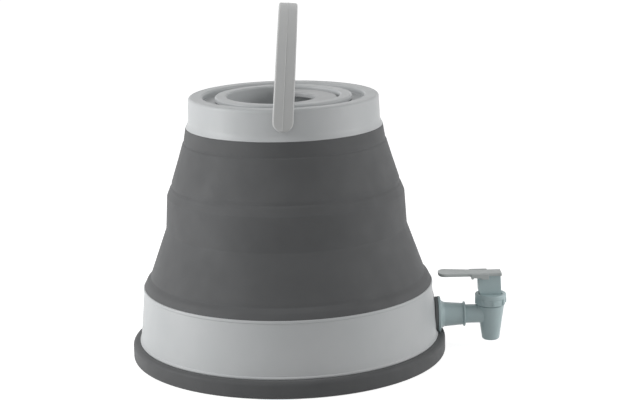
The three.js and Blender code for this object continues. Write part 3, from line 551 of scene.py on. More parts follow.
def from_shape(name, shape, finish):
    """A piece made from finished geometry, its faces turned outward."""
    bmesh.ops.recalc_face_normals(shape, faces=shape.faces)
    mesh = bpy.data.meshes.new(name)
    shape.to_mesh(mesh)
    shape.free()
    mesh.materials.append(finish)
    piece = bpy.data.objects.new(name, mesh)
    bpy.context.scene.collection.objects.link(piece)
    return piece


print("faces that meet at less than", round(math.degrees(SMOOTH_ANGLE)), "degrees shade smoothly")

# %% Turning an outline
RING_STEPS = 224
SMALL_STEPS = 96


def turned(name, outline, finish, steps=RING_STEPS, along="Z", centre=(0, 0, 0)):
    """Swings an outline of (radius, place) points about an axis through centre."""
    shape = bmesh.new()
    rings = []
    for radius, place in outline:
        count = 1 if radius < SHARP else steps
        ring = []
        for step in range(count):
            angle = 2 * math.pi * step / steps
            across = (radius * math.cos(angle), radius * math.sin(angle))
            point = (*across, place) if along == "Z" else (place, *across)
            ring.append(shape.verts.new((Vector(point) + Vector(centre)) * MM))
        rings.append(ring)
    for ring, following in zip(rings, rings[1:] + rings[:1]):
        if len(ring) + len(following) > 2:
            bridge(shape, ring, following)
    return from_shape(name, shape, finish)


print("a large ring has", RING_STEPS, "steps, and a small one", SMALL_STEPS)

# %% [markdown]
# ## Lofted and plain forms
#
# What isn't round is lofted: a list of sections with as many points each is joined into one
# closed bar. A plate is the simplest case, with an outline below and the same one above. Plain
# blocks and bars serve as helpers that are joined to a piece or cut out of it.

# %% Lofts, plates and blocks
def lofted(name, sections, finish):
    """A closed bar through a list of sections, all with as many points."""
    shape = bmesh.new()
    rings = [[shape.verts.new(Vector(point) * MM) for point in section] for section in sections]
    for ring, following in zip(rings, rings[1:]):
        bridge(shape, ring, following)
    shape.faces.new(rings[0])
    shape.faces.new(rings[-1])
    return from_shape(name, shape, finish)


def plate(name, outline, low, high, finish, upright="Z"):
    """A flat outline given a thickness, from low to high along one axis."""
    sections = []
    for level in (low, high):
        sections.append([(x, y, level) if upright == "Z" else (x, level, y) for x, y in outline])
    return lofted(name, sections, finish)


def block(name, low, high, finish):
    """A plain block between two corners."""
    shape = bmesh.new()
    bmesh.ops.create_cube(shape, size=1)
    size = Vector(high) - Vector(low)
    middle = (Vector(high) + Vector(low)) / 2
    for point in shape.verts:
        point.co = Vector(p * s + m for p, s, m in zip(point.co, size, middle)) * MM
    return from_shape(name, shape, finish)


def bar_along_y(name, radius, start, end, height, steps=SMALL_STEPS):
    """A plain round bar across the carrier, at a height."""
    angles = [2 * math.pi * step / steps for step in range(steps)]
    sections = []
    for place in (start, end):
        sections.append([(radius * math.cos(a), place, height + radius * math.sin(a)) for a in angles])
    return lofted(name, sections, pale)


print("forms ready: loft, plate, block and bar")

# %% [markdown]
# ## Joining and cutting
#
# A few pieces are more than one simple form: the tap's body is a spout and a pipe grown
# together, and the foot has a notch for the tap. Such joints could be drawn face by face. It
# is quicker to join or cut the two forms as solids and to throw the helper form away, so that
# one closed skin is left. The exact solver is the slower one, and it also copes with faces
# that just touch.

# %% Solid joins and cuts
BEVEL_ANGLE = math.radians(40)


def combine(piece, helper, operation):
    """Joins helper to piece or cuts it away, and removes helper."""
    step = piece.modifiers.new(operation.lower(), "BOOLEAN")
    step.operation = operation
    step.solver = "EXACT"
    step.object = helper
    view = bpy.context.evaluated_depsgraph_get()
    result = bpy.data.meshes.new_from_object(piece.evaluated_get(view))
    piece.modifiers.clear()
    piece.data = result
    bpy.data.objects.remove(helper)
    return piece


def soft_edges(piece, width, segments=4):
    """Rounds every real edge by a width, as a mould does."""
    bevel = piece.modifiers.new("soft_edges", "BEVEL")
    bevel.width = width * MM
    bevel.segments = segments
    bevel.limit_method = "ANGLE"
    bevel.angle_limit = BEVEL_ANGLE
    bevel.harden_normals = False
    return piece


def place_on(piece, body, slot_name, *nodes):
    """The piece moves with a body and stands for engineering pieces, which are hidden. slot_name is
    not used.
    """
    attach(piece, body)
    if nodes:
        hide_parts(*nodes)
    return piece


print("edges sharper than", round(math.degrees(BEVEL_ANGLE)), "degrees are rounded")

# %% [markdown]
# ## Foot
#
# The foot is a soft rubber pan pulled over the bottom of the tub. It is turned in one piece,
# as it is moulded, with a generous round at its shoulder, so that it reads as rubber. A
# shallow notch lets the tap's flange pass. A turned form is the same all the way round, so the
# notch is cut afterwards, with a round bar that is a little wider than the flange.

# %% Foot ring
FLOOR_PAN = 3
FOOT_SHOULDER = 6
FOOT_HEEL = 2.2
FOOT_LIP = 0.5
SEAT_GAP = 0.3
TUB_TAPER = 5.6
NOTCH_GAP = 0.6
OVERRUN = 1
tub_low_radius = tub_high.y
tap_low, tap_high = corners_of("tap_shank")
flange_radius = tap_high.y
tap_line = (tap_low.z + tap_high.z) / 2


def tub_radius(height):
    """The outside radius of the tub's tapered wall at a height."""
    return tub_low_radius - TUB_TAPER * (height - tub_low.z) / (tub_rim - tub_low.z)


def foot():
    pan_wall = tub_radius(foot_top) + SEAT_GAP
    outline = rounded([
        (0, 0, 0),
        (foot_radius, 0, FOOT_HEEL),
        (foot_radius, foot_top, FOOT_SHOULDER),
        (pan_wall, foot_top, FOOT_LIP),
        (tub_low_radius + SEAT_GAP, FLOOR_PAN, FOOT_LIP),
        (0, FLOOR_PAN, 0),
    ])
    piece = turned("foot_ring", outline, foot_finish)
    notch_radius = flange_radius + NOTCH_GAP
    start = tub_low_radius - 2 * OVERRUN
    end = foot_radius + OVERRUN
    notch_outline = [(0, start), (notch_radius, start), (notch_radius, end), (0, end)]
    notch = turned("notch_bar", notch_outline, foot_finish, SMALL_STEPS, "X", (0, 0, tap_line))
    return smooth_skin(combine(piece, notch, "DIFFERENCE"))


foot_ring = place_on(foot(), "base", "foot_rubber", "foot_pan")
print(foot_ring.name, len(foot_ring.data.polygons), "faces")

# %% [markdown]
# ## Tub
#
# The tub is the pale band and everything below it. Seen closely it has a thin bead of light
# at its upper and lower edges: two small lips, one that the silicone wall sits on and one that
# covers the foot's edge. The wall is planed to a broad flat where the tap's seal presses, and
# a thick boss behind it holds the tap. The shell is turned first. The boss is then joined to
# it, and the flat, the seal's seat and the bore are cut.

# %% Tub shell
TUB_WALL = 3
UPPER_LIP = 0.6
UPPER_LIP_HEIGHT = 2.6
LOWER_LIP = 0.8
LOWER_LIP_HEIGHT = 1.5
LIP_SLOPE = 0.4
SKIRT_GAP = 0.1
SEAT_DEPTH = 11.1
seal_low, seal_high = corners_of("tap_outer_seal")
inner_seal_high = corners_of("tap_inner_seal")[1]
seal_radius = seal_high.y


def tub_wall():
    """The turned shell, and the height at which its band begins."""
    lip = tub_rim - UPPER_LIP_HEIGHT
    skirt = foot_top + SKIRT_GAP
    skirt_top = skirt + LOWER_LIP_HEIGHT
    seat_end = tub_rim - SEAT_DEPTH
    floor_height = tub_low.z + TUB_WALL
    seat_radius = tub_radius(tub_rim) - TUB_WALL
    outline = rounded([
        (0, tub_low.z, 0),
        (tub_low_radius, tub_low.z, 2),
        (tub_radius(skirt), skirt, 0),
        (tub_radius(skirt) + LOWER_LIP, skirt, 0.5),
        (tub_radius(skirt) + LOWER_LIP, skirt_top, 0.7),
        (tub_radius(skirt_top), skirt_top + LIP_SLOPE, 0.8),
        (tub_radius(lip), lip, 0.8),
        (tub_radius(lip) + UPPER_LIP, lip + UPPER_LIP, 0.6),
        (tub_radius(tub_rim) + UPPER_LIP, tub_rim, 0.7),
        (seat_radius, tub_rim, 0.3),
        (seat_radius, seat_end, 0.3),
        (tub_radius(seat_end - TUB_WALL) - TUB_WALL, seat_end - TUB_WALL, 1),
        (tub_radius(floor_height) - TUB_WALL, floor_height, 3),
        (0, floor_height, 0),
    ])
    return turned("tub_shell", outline, pale), skirt


tub_shell, band_low = tub_wall()
print("band from", round(band_low, 1), "to", round(tub_rim, 1))

# %% Boss, flat, seat and bore for the tap
FACET_HALF = 34
FACET_ROUND = 3
BOSS_MARGIN = 5
SHANK_TUBE = 8


def bar_along_x(name, radius, start, end):
    """A plain bar on the tap's line, used to join or to cut."""
    outline = [(0, start), (radius, start), (radius, end), (0, end)]
    return turned(name, outline, pale, SMALL_STEPS, "X", (0, 0, tap_line))


def make_room_for_tap(piece):
    """Joins the boss behind the tub's wall, and cuts the flat, the seal's seat and the bore."""
    boss_face = inner_seal_high.x
    boss_end = tub_radius(tap_line) - TUB_WALL / 2
    boss = bar_along_x("boss_bar", seal_radius + BOSS_MARGIN, boss_face, boss_end)
    combine(piece, boss, "UNION")
    recess = bar_along_x("recess_bar", seal_radius + 2 * SEAT_GAP, seal_low.x, foot_radius)
    combine(piece, recess, "DIFFERENCE")
    facet_outline = rounded([
        (seal_low.x, tub_rim, 0),
        (seal_low.x, band_low + 2 * LOWER_LIP_HEIGHT, FACET_ROUND),
        (foot_radius, band_low + LOWER_LIP_HEIGHT, 0),
        (foot_radius, tub_rim, 0),
    ])
    facet = plate("facet_form", facet_outline, -FACET_HALF, FACET_HALF, pale, upright="Y")
    combine(piece, facet, "DIFFERENCE")
    bore = bar_along_x("bore_bar", SHANK_TUBE + SEAT_GAP, boss_face - OVERRUN, foot_radius)
    return combine(piece, bore, "DIFFERENCE")


make_room_for_tap(tub_shell)
place_on(smooth_skin(tub_shell), "base", "light_plastic", "base_tub")
print(tub_shell.name, len(tub_shell.data.polygons), "faces")

# %% [markdown]
# ## Silicone wall
#
# The wall is one moulding of soft panels. From the tub up there is a rolled bulge, a notch, a
# wide cone, a nearly upright waist, a soft shoulder, a second cone and a short neck. Where two
# panels meet there is a fine groove, which shows as a thin dark line. The outline is written
# as corners with their own rounds, since silicone bends rather than creases.
#
# On the real carrier the panels fold into each other. A cloth simulation could show that, but
# only for one height of the collar. Here the wall is built at its full height, with a mesh of
# its own.

# %% Folding wall
WALL_THICKNESS = 2.5
WALL_FOLDS = [
    (123.3, 0, 0),
    (121.2, 5.6, 7),
    (117.6, 8.8, 1.6),
    (117.0, 11.4, 2),
    (103.0, 50.2, 5),
    (101.2, 79.2, 3),
    (98.5, 85.8, 1.5),
    (97.1, 87.6, 1),
    (96.8, 90.6, 1.5),
    (90.9, 109.0, 60),
    (86.6, 123.2, 1.5),
    (85.5, 124.4, 1),
    (85.3, 126.6, 1.5),
    (83.6, 136.8, 0),
]


def folding_wall():
    outer = [(radius, tub_rim + rise, softness) for radius, rise, softness in WALL_FOLDS]
    inner = [(radius - WALL_THICKNESS, height, softness) for radius, height, softness in outer]
    outline = rounded(outer + inner[::-1])
    return smooth_skin(turned("silicone_wall", outline, silicone))


silicone_wall = place_on(folding_wall(), "base", "wall_silicone", "bellows")
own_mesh(silicone_wall)

# %% [markdown]
# ## Beads and clamp rings
#
# Each end of the wall is a thick bead that hides inside the hard parts, held there by a clamp
# ring. The beads don't show, but the carrier isn't whole without them. They are made as plain
# soft rings, one in the tub and one in the collar, because each moves with its own end.

# %% Hidden beads
BEAD_WALL = 2.2
BEAD_HEIGHT = 7.6
BEAD_ROUND = 0.6
COLLAR_SEAT = 78.9


def bead(name, outer_radius, low, high):
    outline = rounded([
        (outer_radius - BEAD_WALL, low, BEAD_ROUND),
        (outer_radius, low, BEAD_ROUND),
        (outer_radius, high, BEAD_ROUND),
        (outer_radius - BEAD_WALL, high, BEAD_ROUND),
    ])
    return smooth_skin(turned(name, outline, silicone))


lower_bead_radius = tub_radius(tub_rim) - TUB_WALL - SEAT_GAP
upper_bead_radius = COLLAR_SEAT - SEAT_GAP
lower_ends = tub_rim - BEAD_HEIGHT, tub_rim - SEAT_GAP
upper_ends = collar_edge + SEAT_GAP, collar_edge + BEAD_HEIGHT
lower_bead = bead("wall_bead_lower", lower_bead_radius, *lower_ends)
upper_bead = bead("wall_bead_upper", upper_bead_radius, *upper_ends)
place_on(lower_bead, "base", "wall_silicone", "bellows")
place_on(upper_bead, "top", "wall_silicone", "bellows")
print(lower_bead.name, upper_bead.name)

# %% [markdown]
# ## Threads
#
# The lid screws in by a quick thread with three starts, so a short turn lifts it clear. Each
# start is a short rib that climbs as it goes round. A long thread could be swept by the Screw
# modifier. These ribs fade at both ends, so they are lofted: one small section is repeated
# along the climb, and it is lower at the ends.

# %% Thread ribs
THREAD_STARTS = 3
THREAD_LEAD = 18
THREAD_ARC = math.radians(100)
THREAD_STEPS = 40
THREAD_SUNK = 0.4
THREAD_ROOT = 2.4
THREAD_TIP = 1.4
THREAD_RUN_OUTS = 8
THREAD_LEAST = 0.25


def thread_rib(start, root_radius, tip_radius, start_height):
    """One rib of the quick thread, from its root radius to its tip radius."""
    sections = []
    for step in range(THREAD_STEPS + 1):
        share = step / THREAD_STEPS
        angle = THREAD_ARC * share + 2 * math.pi * start / THREAD_STARTS
        height = start_height + THREAD_LEAD * THREAD_ARC * share / (2 * math.pi)
        run = min(1, THREAD_RUN_OUTS * min(share, 1 - share))
        fade = max(THREAD_LEAST, math.sin(math.pi * run / 2))
        tip = root_radius + (tip_radius - root_radius) * fade
        profile = [
            (root_radius, -THREAD_ROOT / 2),
            (tip, -THREAD_TIP / 2),
            (tip, THREAD_TIP / 2),
            (root_radius, THREAD_ROOT / 2),
        ]
        turned_profile = [(r * math.cos(angle), r * math.sin(angle), height + z) for r, z in profile]
        sections.append(turned_profile)
    return lofted(f"rib_{start}", sections, pale)


def add_thread(piece, root_radius, tip_radius, start_height):
    """Joins all starts of the thread to a piece."""
    for start in range(THREAD_STARTS):
        combine(piece, thread_rib(start, root_radius, tip_radius, start_height), "UNION")
    return piece


print("the thread has", THREAD_STARTS, "starts and climbs", THREAD_LEAD, "mm in one turn")

# %% [markdown]
# ## Collar
#
# The collar is the widest hard moulding on top. Its skirt is almost upright and flares out
# over the silicone at its lower edge. The top has a broad flat rim, a sunken ring for the
# fingers and, in the middle, the threaded neck that takes the lid. One outline holds all of
# these, because they are one moulding. What isn't round is added afterwards: two bosses with
# bores for the bail's pins, and the thread.

# %% Collar moulding
COLLAR_ROUND = 2.6
COLLAR_WALL = 2.4
RIM_RADIUS = 80.5
SKIRT_RADIUS = 81.3
FLARE_HEIGHT = 4.4
FLARE_INSET = 0.6
FLARE_ROUND = 7
GROOVE_RADIUS = 68.3
GROOVE_DEPTH = 5.5
GROOVE_EDGE = 2.2
DECK_THICKNESS = 2.5
NECK_BORE = 53.8
NECK_WALL = 2.5
NECK_DEPTH = 16.2
flare_radius = collar_high.y
deck_height = rim_height - GROOVE_DEPTH


def collar():
    under_deck = deck_height - DECK_THICKNESS
    under_rim = rim_height - COLLAR_WALL
    neck_outside = NECK_BORE + NECK_WALL
    groove_outside = GROOVE_RADIUS + COLLAR_WALL
    outline = rounded([
        (COLLAR_SEAT, collar_edge, 0.4),
        (flare_radius - FLARE_INSET, collar_edge, 0.5),
        (SKIRT_RADIUS, collar_edge + FLARE_HEIGHT, FLARE_ROUND),
        (RIM_RADIUS, rim_height, COLLAR_ROUND),
        (GROOVE_RADIUS, rim_height, GROOVE_EDGE),
        (GROOVE_RADIUS, deck_height, 0.8),
        (NECK_BORE, deck_height, 0.8),
        (NECK_BORE, deck_height - NECK_DEPTH, 0.5),
        (neck_outside, deck_height - NECK_DEPTH, 0.5),
        (neck_outside, under_deck, 0.8),
        (groove_outside, under_deck, 0.8),
        (groove_outside, under_rim, 0.8),
        (RIM_RADIUS - COLLAR_WALL, under_rim, 0.8),
        (COLLAR_SEAT, collar_edge + FLARE_HEIGHT + BEAD_HEIGHT, 1),
    ])
    return turned("collar_moulding", outline, pale)


collar_moulding = collar()
print(collar_moulding.name, "from", round(collar_edge, 1), "to", round(rim_height, 1))

# %% Pivot bosses
PIVOT_DROP = 9.2
PIN_RADIUS = 3
BOSS_WIDTH = 13
BOSS_DROP = 6.3
PIN_SEAT = 72.5
pivot_height = rim_height - PIVOT_DROP


def mirrored(side, *places):
    """Places across the carrier, put on one side, -1 or 1, with the lower one first."""
    return sorted(side * place for place in places)


for side in (-1, 1):
    boss_ends = mirrored(side, GROOVE_RADIUS + COLLAR_WALL / 2, COLLAR_SEAT + COLLAR_WALL / 2)
    boss_low = (-BOSS_WIDTH / 2, boss_ends[0], pivot_height - BOSS_DROP)
    boss_high = (BOSS_WIDTH / 2, boss_ends[1], rim_height - COLLAR_WALL / 2)
    combine(collar_moulding, block("boss_block", boss_low, boss_high, pale), "UNION")
    bore_ends = mirrored(side, PIN_SEAT, flare_radius + OVERRUN)
    pin_bore = bar_along_y("pin_bore", PIN_RADIUS + SEAT_GAP, *bore_ends, pivot_height)
    combine(collar_moulding, pin_bore, "DIFFERENCE")
print("the bail's pivots are", round(pivot_height, 1), "mm high")

# %% Neck thread
PLUG_RADIUS = 51.5
THREAD_GAP = 0.6
THREAD_RISE = 5
neck_thread_start = lid_low.z + THREAD_RISE + THREAD_LEAD / THREAD_STARTS / 2
add_thread(collar_moulding, NECK_BORE + THREAD_SUNK, PLUG_RADIUS + THREAD_GAP, neck_thread_start)
place_on(smooth_skin(collar_moulding), "top", "light_plastic", "collar")
print(collar_moulding.name, len(collar_moulding.data.polygons), "faces")

# %% [markdown]
# ## Lid
#
# The lid is a deep plug. Its top edge is a raised ring as high as the collar's rim, and the
# finger groove runs round it. Inside the ring is a round well, in which the grip lies folded.
# A small ledge at the tap side holds the grip level, and two sockets in the well's wall hold
# its pins. The plug is turned, the thread and the ledge are joined to it, and the sockets are
# cut.

# %% Lid moulding
WELL_RADIUS = 48
LID_FLOOR = 2.5
LID_RING_HEIGHT = 4
LID_ROUND = 2
WELL_ROUND = 1.8
WELL_CORNER = 2.5
GRIP_DROP = 2.5
GRIP_THICKNESS = 4.4
LEDGE_LENGTH = 5
LEDGE_WIDTH = 10
LEDGE_HEIGHT = 5
SOCKET_DEPTH = 2.3
SOCKET_STEPS = 48
GRIP_PIN_RADIUS = 1.3
lid_radius = lid_high.x
grip_top = rim_height - GRIP_DROP
grip_axis = grip_top - GRIP_THICKNESS / 2


def lid():
    ring_under = rim_height - LID_RING_HEIGHT
    well_floor = lid_low.z + LID_FLOOR
    outline = rounded([
        (0, lid_low.z, 0),
        (PLUG_RADIUS, lid_low.z, 1),
        (PLUG_RADIUS, ring_under, 0.3),
        (lid_radius, ring_under, 0.5),
        (lid_radius, rim_height, LID_ROUND),
        (WELL_RADIUS, rim_height, WELL_ROUND),
        (WELL_RADIUS, well_floor, WELL_CORNER),
        (0, well_floor, 0),
    ])
    piece = turned("lid_moulding", outline, pale)
    add_thread(piece, PLUG_RADIUS - THREAD_SUNK, NECK_BORE - THREAD_GAP, lid_low.z + THREAD_RISE)
    under_grip = grip_top - GRIP_THICKNESS
    ledge_low = (WELL_RADIUS - LEDGE_LENGTH, -LEDGE_WIDTH / 2, under_grip - LEDGE_HEIGHT)
    ledge_high = (WELL_RADIUS + OVERRUN, LEDGE_WIDTH / 2, under_grip - SEAT_GAP)
    combine(piece, block("ledge_block", ledge_low, ledge_high, pale), "UNION")
    for side in (-1, 1):
        ends = mirrored(side, WELL_RADIUS - OVERRUN, WELL_RADIUS + SOCKET_DEPTH)
        radius = GRIP_PIN_RADIUS + SEAT_GAP
        socket = bar_along_y("grip_socket", radius, *ends, grip_axis, SOCKET_STEPS)
        combine(piece, socket, "DIFFERENCE")
    return smooth_skin(piece)


lid_moulding = place_on(lid(), "lid_unit", "light_plastic", "lid")
print(lid_moulding.name, len(lid_moulding.data.polygons), "faces")

# %% [markdown]
# ## Lid gasket
#
# A thin flat ring of dark rubber seals the lid on the deck. It could be part of the lid, but
# in this model it lifts with the lid and doesn't turn, so it is a piece of its own. Almost all
# of it is covered, and what shows is a dark line round the lid's foot.

# %% Gasket
gasket_low, gasket_high = corners_of("lid_gasket")
GASKET_INNER = 54.3


def gasket():
    outline = rounded([
        (GASKET_INNER, gasket_low.z, 0.3),
        (gasket_high.y, gasket_low.z, 0.4),
        (gasket_high.y, gasket_high.z, 0.4),
        (GASKET_INNER, gasket_high.z, 0.3),
    ])
    return smooth_skin(turned("lid_seal_ring", outline, seal_finish))


lid_seal_ring = place_on(gasket(), "lid_seal", "seal_rubber", "lid_gasket")
print(lid_seal_ring.name)

# %% [markdown]
# ## Grip
#
# The grip is half a flat ring with two square heels behind its hinge line. A whole ring could
# be cut in half, but its plan is just as easy to draw: two arcs and the heels. The plan is
# given one thickness, and then all its edges are rounded, as on any part meant for fingers.

# %% Grip ring
GRIP_HEEL = 3.5
GRIP_BAND = 18.4
GRIP_SEGMENTS = 64
GRIP_EDGE = 1.1
grip_outer = corners_of("lid_grip")[1].x
grip_inner = grip_outer - GRIP_BAND


def arc(radius, start, end):
    """Points of an arc about the middle, between two angles in degrees."""
    shares = [step / GRIP_SEGMENTS for step in range(GRIP_SEGMENTS + 1)]
    angles = [math.radians(start + (end - start) * share) for share in shares]
    return [(radius * math.cos(angle), radius * math.sin(angle)) for angle in angles]


def grip():
    outline = [(-GRIP_HEEL, -grip_outer)]
    outline += arc(grip_outer, -90, 90)
    outline += [(-GRIP_HEEL, grip_outer), (-GRIP_HEEL, grip_inner)]
    outline += arc(grip_inner, 90, -90)
    outline += [(-GRIP_HEEL, -grip_inner)]
    piece = plate("grip_ring", outline, grip_top - GRIP_THICKNESS, grip_top, grip_finish)
    return smooth_skin(soft_edges(piece, GRIP_EDGE))


grip_ring = place_on(grip(), "grip", "light_plastic", "lid_grip")
print(grip_ring.name, "radius", round(grip_inner, 1), "to", round(grip_outer, 1))

# %% [markdown]
# ## Hinge pins
#
# The grip turns on two short pins in the lid, and the bail on two thicker ones in the collar.
# Each pin is a plain bar with softened ends, since only a sliver of it shows in the gap beside
# its moving part. That sliver is what makes the hinge believable. A bail pin has a wider head,
# which is joined on and sits in a socket in the bail.

# %% Grip pins and bail pins
PIN_SIDES = {"front": -1, "rear": 1}
PIN_EDGE = 0.3
PIN_EDGE_SEGMENTS = 3
GRIP_PIN_REACH = 9
GRIP_PIN_STEPS = 40
BAIL_PIN_STEPS = 64
BAIL_GAP = 0.7
BAIL_THICKNESS = 4.2
BAIL_SOCKET = 2.5
PIN_HEAD_RADIUS = 4.2
PIN_HEAD_LENGTH = 1.8
bail_inner = SKIRT_RADIUS + BAIL_GAP
bail_outer = bail_inner + BAIL_THICKNESS
head_end = bail_inner + BAIL_SOCKET - SEAT_GAP
head_start = head_end - PIN_HEAD_LENGTH


def grip_pin(end_name, side):
    """One pin of the grip's hinge, from inside the grip into the lid."""
    ends = mirrored(side, grip_outer - GRIP_PIN_REACH, WELL_RADIUS + SOCKET_DEPTH)
    name = f"grip_hinge_pin_{end_name}"
    return bar_along_y(name, GRIP_PIN_RADIUS, *ends, grip_axis, GRIP_PIN_STEPS)


def bail_pin(end_name, side):
    """One pivot of the bail: a shank in the collar and a wider head in the bail."""
    shank_ends = mirrored(side, PIN_SEAT, head_start + OVERRUN)
    head_ends = mirrored(side, head_start, head_end)
    name = f"bail_pivot_{end_name}"
    pin = bar_along_y(name, PIN_RADIUS, *shank_ends, pivot_height, BAIL_PIN_STEPS)
    head = bar_along_y("pin_head", PIN_HEAD_RADIUS, *head_ends, pivot_height, BAIL_PIN_STEPS)
    return combine(pin, head, "UNION")


for end_name, side in PIN_SIDES.items():
    pin = smooth_skin(soft_edges(grip_pin(end_name, side), PIN_EDGE, PIN_EDGE_SEGMENTS))
    place_on(pin, "lid_unit", "light_plastic", f"lid_grip_pin_{end_name}")
    pin = smooth_skin(soft_edges(bail_pin(end_name, side), PIN_EDGE, PIN_EDGE_SEGMENTS))
    place_on(pin, "top", "light_plastic", f"bail_pin_{end_name}")
print("hinge pins at heights", round(grip_axis, 1), round(pivot_height, 1))

# %% [markdown]
# ## Bail
#
# The bail is one moulded strap bent over in a half circle, with round pads at its two pivots.
# A close look shows the mould's fine seam along the middle of its outer face and a bright line
# along each rounded edge.
#
# A curve with a flat profile would give the arch, but not the round pads or the seam. So the
# strap is first thought of as flat: a long shape with round ends, drawn as rings that step
# inward over the edge round. The flat shape is then bent over the arch, which keeps the edge
# round even all the way.

# %% Flat strap
PAD_RADIUS = 8.55
TOP_HALF_WIDTH = 7.9
ARCH_STEPS = 120
PAD_STEPS = 24
bail_middle = (bail_inner + bail_outer) / 2
arch_length = math.pi * bail_middle


def half_width(along):
    """Half the strap's width at a distance along the arch: narrower at the top."""
    rise = max(0, math.sin(along / bail_middle)) if 0 < along < arch_length else 0
    return PAD_RADIUS + (TOP_HALF_WIDTH - PAD_RADIUS) * rise


def strap_ring(inset):
    """The flat strap's outline, drawn in by an inset, as (along, across) points."""
    side_line = []
    for step in range(ARCH_STEPS + 1):
        along = arch_length * step / ARCH_STEPS
        side_line.append((along, half_width(along) - inset))
    radius = PAD_RADIUS - inset
    turns = [math.pi / 2 * step / PAD_STEPS for step in range(1, PAD_STEPS + 1)]
    far = [(arch_length + radius * math.sin(a), radius * math.cos(a)) for a in turns]
    near = [(-radius * math.sin(a), radius * math.cos(a)) for a in turns]
    half = near[::-1] + side_line + far
    return half, [(along, -across) for along, across in half[1:-1][::-1]]


print("the strap is", round(2 * half_width(arch_length / 2), 1), "mm wide at the top of the arch")

# %% Bending the strap
BAIL_EDGE = 1.7
BAIL_CROWN = 0.35
EDGE_STEPS = 5


def bent(along, across, depth):
    """A point of the flat strap, carried onto the arch."""
    radius = bail_inner + depth
    if along < 0:
        return Vector((across, -radius, along))
    if along > arch_length:
        return Vector((across, radius, arch_length - along))
    angle = along / bail_middle
    return Vector((across, -radius * math.cos(angle), radius * math.sin(angle)))


def edge_levels():
    """Insets and depths from the inner face's edge, over the strap's edge, to the outer face."""
    levels = []
    for step in range(EDGE_STEPS + 1):
        angle = math.pi / 2 * step / EDGE_STEPS
        levels.append((BAIL_EDGE * (1 - math.sin(angle)), BAIL_EDGE * (1 - math.cos(angle))))
    high = [(inset, BAIL_THICKNESS - BAIL_CROWN - depth) for inset, depth in levels[::-1]]
    return levels + high


print("the bail's arch is", round(arch_length), "mm long")

# %% Bail strap with its seam
SEAM_HEIGHT = 0.25
SEAM_HALF = 0.5
BAIL_LEAN = math.radians(4.1)


def face_lines(shape, ring, rows):
    """Lines along one face of the strap: its edge, each row of the face and its other edge."""
    places = [along for along, across in strap_ring(BAIL_EDGE)[0]]
    count = len(places)
    lines = [ring[:count]]
    for across, depth in rows:
        middle = [shape.verts.new(bent(along, across, depth) * MM) for along in places[1:-1]]
        lines.append([ring[0], *middle, ring[count - 1]])
    lines.append([ring[0], *ring[count:][::-1], ring[count - 1]])
    return lines


def bail():
    shape = bmesh.new()
    rings = []
    for inset, depth in edge_levels():
        half, other = strap_ring(inset)
        rings.append([shape.verts.new(bent(*point, depth) * MM) for point in half + other])
    for ring, following in zip(rings, rings[1:]):
        bridge(shape, ring, following)
    inner_rows = [(0, 0)]
    seam_foot = BAIL_THICKNESS - SEAM_HEIGHT
    outer_rows = [(SEAM_HALF, seam_foot), (0, BAIL_THICKNESS), (-SEAM_HALF, seam_foot)]
    for ring, rows in ((rings[0], inner_rows), (rings[-1], outer_rows)):
        lines = face_lines(shape, ring, rows)
        for line, following in zip(lines, lines[1:]):
            for step in range(len(line) - 1):
                add_face(shape, [line[step], line[step + 1], following[step + 1], following[step]])
    lean = Matrix.Rotation(BAIL_LEAN, 4, "Y")
    lift = Matrix.Translation((0, 0, pivot_height * MM))
    bmesh.ops.transform(shape, matrix=lift @ lean, verts=shape.verts)
    return from_shape("bail_strap", shape, bail_finish)


bail_strap = bail()
for side in (-1, 1):
    socket_ends = mirrored(side, bail_inner - OVERRUN, bail_inner + BAIL_SOCKET)
    socket_radius = PIN_HEAD_RADIUS + SEAT_GAP
    socket = bar_along_y("pad_socket", socket_radius, *socket_ends, pivot_height, BAIL_PIN_STEPS)
    combine(bail_strap, socket, "DIFFERENCE")
place_on(smooth_skin(bail_strap), "bail", "handle_plastic", "bail_handle")
print(bail_strap.name, len(bail_strap.data.polygons), "faces")

# %% [markdown]
# ## Seal, barrel and disc of the tap
#
# From the tub outward come a dark rubber seal, a round flange that curves into a tapered
# barrel, and a thin disc. They share one level line, so they are turned about that line, each
# as its own piece. Lengths are read off the engineering pieces.

# %% Seal
SEAL_PLAY = 0.05
tap_place = (0, 0, tap_line)


def turned_on_tap_line(name, corners, finish):
    """A piece turned about the tap's level line, from (radius, place, round) corners."""
    return smooth_skin(turned(name, rounded(corners), finish, SMALL_STEPS, "X", tap_place))


def outer_seal():
    bore = SHANK_TUBE + SEAT_GAP
    face = seal_high.x - SEAL_PLAY
    return turned_on_tap_line("seal_washer", [
        (bore, seal_low.x, 0.2),
        (seal_radius, seal_low.x, 0.5),
        (seal_radius, face, 0.5),
        (bore, face, 0.2),
    ], seal_finish)


seal_washer = place_on(outer_seal(), "base", "seal_rubber", "tap_outer_seal")
print(seal_washer.name, "is", round(2 * seal_radius, 1), "mm across")

# %% Flange and barrel
SHANK_BORE = 6
FLANGE_THICKNESS = 2.2
BARREL_ROOT = 10.65
BARREL_TIP = 9.35
COVE = 3.4
COVE_FOOT = 0.5
SOCKET_RADIUS = 7.75
PIPE_SOCKET = 10.8
disc_low, disc_high = corners_of("tap_stop_ring")
flange_back = seal_high.x
flange_face = flange_back + FLANGE_THICKNESS
barrel_end = disc_low.x


